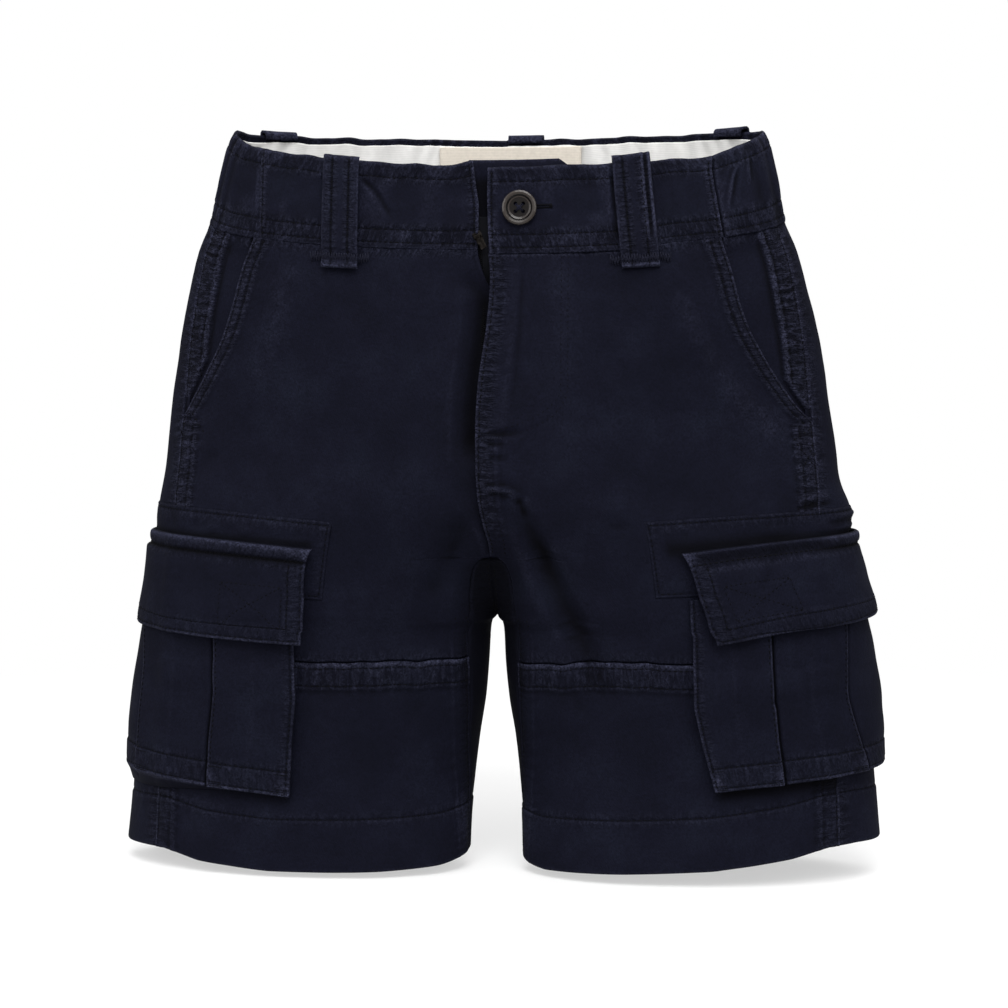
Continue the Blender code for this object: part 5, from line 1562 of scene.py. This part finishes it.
def makeFlap(side):
    piece = "cargo_flap_" + sideName(side)
    tall, wide = cargo["tall"]["flap"], cargo["width"] + cargo["flapOver"]
    seed = 760 + side
    left, right, top, foot = cargo[side]["box"]

    def shape(s, share):
        t = share * tall
        height, = tableAt(cargo["flapOff"], share)
        height *= 1 + cargo[side]["sideOff"] * ease((s - 50) / 60) * share
        back = ease((s - 58) / 26) if side > 0 else 1       # on the left the roll lies flat near the front
        roll = np.clip(1 - np.square((t - 2.9) / 3.3), 0, 1)
        height += back * (0.9 * roll - 0.85 * bump(t - 6.8))
        height -= (1 - back) * 1.3 * bump((t - 5.5) / 4) * ease((s - 3) / 8)
        if side < 0:
            height -= 2.6 * ease((s - 60) / 60) * (1 - ease((t - 5) / 4))
        height -= 1.8 * rolled(t, 1.2)
        edgeAway = np.minimum(s, tall - t)
        height += 0.3 * (1 - ease((edgeAway - 8.6) / 1.8)) * ease((t - 7) / 3)
        for at in cargo["edgeStitches"]:
            height -= 0.35 * sunk(edgeAway - at) * ease((t - 7) / 2)
        height -= 0.5 * rolled(edgeAway, 1.1)
        height += 0.5 * noiseSheet(s / 30, t / 24, seed) + 0.22 * noiseSheet(s / 10, t / 9, seed + 3)
        height += puckers(s, tall - t, 8, seed + 6, 0.22, 6.6, 5)
        height += puckers(t, s, 8, seed + 9, 0.15, 6, 4)
        inside = (s - left, right - s, t - top, foot - t)       # of the stitched box
        height += 0.25 * math.prod(ease(away / 1.5) for away in inside)
        if side > 0:        # a soft crease slants across the flap
            slant = (s - 36) * 0.8 + (t - 15) * 0.6
            height -= 0.5 * bump(slant / 2.6) * ease((12 - np.abs(t - 14)) / 6)
        broken = np.clip(0.6 + 0.7 * noiseLine(t / 9, seed + 12) + 0.5 * noiseLine(s / 10, seed + 13), 0.2, 1)
        # painted shade in the groove under the top roll and in the hollow at the top of the left flap near
        # its front; the rest is rubbed edges and corner
        wearAndShade = (0.7 * bump((edgeAway - 0.3) / 0.9) * broken + 0.45 * back * bump((t - 1.2) / 1.2)
                + 1.0 * bump((s - 1) / 1.5) * bump((t - 3) / 3) - back * 0.7 * bump((t - 7) / 1.3) * broken
                - 0.4 * (1 - back) * bump((t - 4.5) / 3.5) * ease((s - 3) / 8)
                + 0.25 * (1 - back) * bump((t - 9.8) / 1.2) * broken)
        levelSeam = 0.25 * strip(tall - t, 8) + 0.4 * strip(np.abs(t - 6), 3, 3)
        return height, marksOf(height, 0.35 * strip(s, 8), levelSeam, wearAndShade)

    for at in cargo["edgeStitches"]:
        sewCargo(piece, side, "flap", np.linspace(at, wide - 2, 400), tall - at, shape)
        sewCargo(piece, side, "flap", at, np.linspace(8, tall - at, 120), shape)
    sewCargo(piece, side, "flap", np.linspace(1, wide - 1, 400), 6.5, shape)
    for line in (((left, right), (top, top)), ((left, right), (foot, foot)), ((left, left), (top, foot)),
                 ((right, right), (top, foot)), ((left, right), (foot, top)), ((left, right), (top, foot))):
        across, down = (np.linspace(*ends, 90) for ends in line)
        sewCargo(piece, side, "flap", across, down, shape, **cargo["boxStitch"])
    t = rowsFor(0, tall, 1.3, (tall - 8, tall - 1.8, 6.5))
    grid = cargoGrid(side, "flap", t, wide, 1.3, cargo["flapNear"], shape)
    clothPiece(piece, [grid], 1.1)


for s in (1, -1):
    makeBacking(s)
    makePocket(s)
    makeFlap(s)
print("cargo pockets made")

for name, material in (("button", buttonResin), ("zip_slider", darkMetal), ("zip_pull", darkMetal)):
    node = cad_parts[name]
    for i in range(len(node.material_slots)):
        node.material_slots[i].material = material

studio = {
    "distance": 1150, "azimuth": 6, "elevation": 5, "aim": (3.2, 0, -185), "field": 504,
    "floorDrop": -368.5, "glow": 0.5, "floorShade": 0.5, "floorGlow": 0.3,
    # name, place, size in m, watts
    "lights": (("key", (0.1, -1.2, 1.35), 1.2, 34), ("fill", (1.2, -1.0, 0.4), 1.0, 7),
               ("sideFill", (-1.3, -0.9, 0.4), 1.0, 9),
               ("top", (0.15, 0.45, 1.5), 2.4, 25)),
}


def makeStudio():
    scene = bpy.context.scene
    scene.view_settings.view_transform = "Standard"
    world = bpy.data.worlds.new("paleStudio")
    world.use_nodes = True
    background = world.node_tree.nodes["Background"]
    background.inputs["Color"].default_value = (1, 1, 1, 1)
    # white behind, a softer glow for lighting
    strength = addNode(world, "MapRange", {"To Min": studio["glow"]}, Value=addNode(world, "LightPath"))
    world.node_tree.links.new(strength.outputs[0], background.inputs["Strength"])
    scene.world = world
    bpy.ops.object.select_all(action="DESELECT")
    bpy.ops.mesh.primitive_plane_add(size=12, location=(0, 0, studio["floorDrop"] * mm))
    floor = bpy.context.object
    floor.name = "floor"
    # matt white sweep that takes the shadow near the shorts and glows evenly further off
    paint = newMaterial("paleFloorPaint")
    solid = addNode(paint, "TexCoord").outputs["Object"]
    far = addNode(paint, "VectorMath", {"operation": "LENGTH"}, n0=solid)
    near = addNode(paint, "MapRange",
                   {"From Min": 0.3, "From Max": 0.7, "To Min": studio["floorShade"], "To Max": 0},
                   Value=far.outputs["Value"])
    matt = addNode(paint, "BsdfDiffuse", {"Color": (0.9, 0.9, 0.9, 1)})
    glow = addNode(paint, "MapRange", {"To Min": studio["floorGlow"]}, Value=addNode(paint, "LightPath"))
    lit = addNode(paint, "Emission", {"Color": (1, 1, 1, 1)}, Strength=glow)
    finishMaterial(paint, addNode(paint, "MixShader", Fac=near, n1=lit, n2=matt))
    floor.data.materials.append(paint)
    for name, spot, size, watts in studio["lights"]:
        lamp = bpy.data.lights.new(name, "AREA")
        lamp.size = size
        lamp.energy = watts
        item = bpy.data.objects.new(name, lamp)
        scene.collection.objects.link(item)
        item.location = spot
        item.rotation_euler = (Vector((0, 0, -0.18)) - Vector(spot)).to_track_quat("-Z", "Y").to_euler()
    lens = bpy.data.cameras.new("camera")
    camera = bpy.data.objects.new("camera", lens)
    scene.collection.objects.link(camera)
    a, e = math.radians(studio["azimuth"]), math.radians(studio["elevation"])
    back = Vector((math.sin(a) * math.cos(e), -math.cos(a) * math.cos(e), math.sin(e)))
    camera.location = (Vector(studio["aim"]) + back * studio["distance"]) * mm
    camera.rotation_euler = (-back).to_track_quat("-Z", "Y").to_euler()
    lens.angle = 2 * math.atan(studio["field"] / 2 / studio["distance"])
    lens.clip_start, lens.clip_end = 0.05, 50
    scene.camera = camera


makeStudio()
print("studio made")
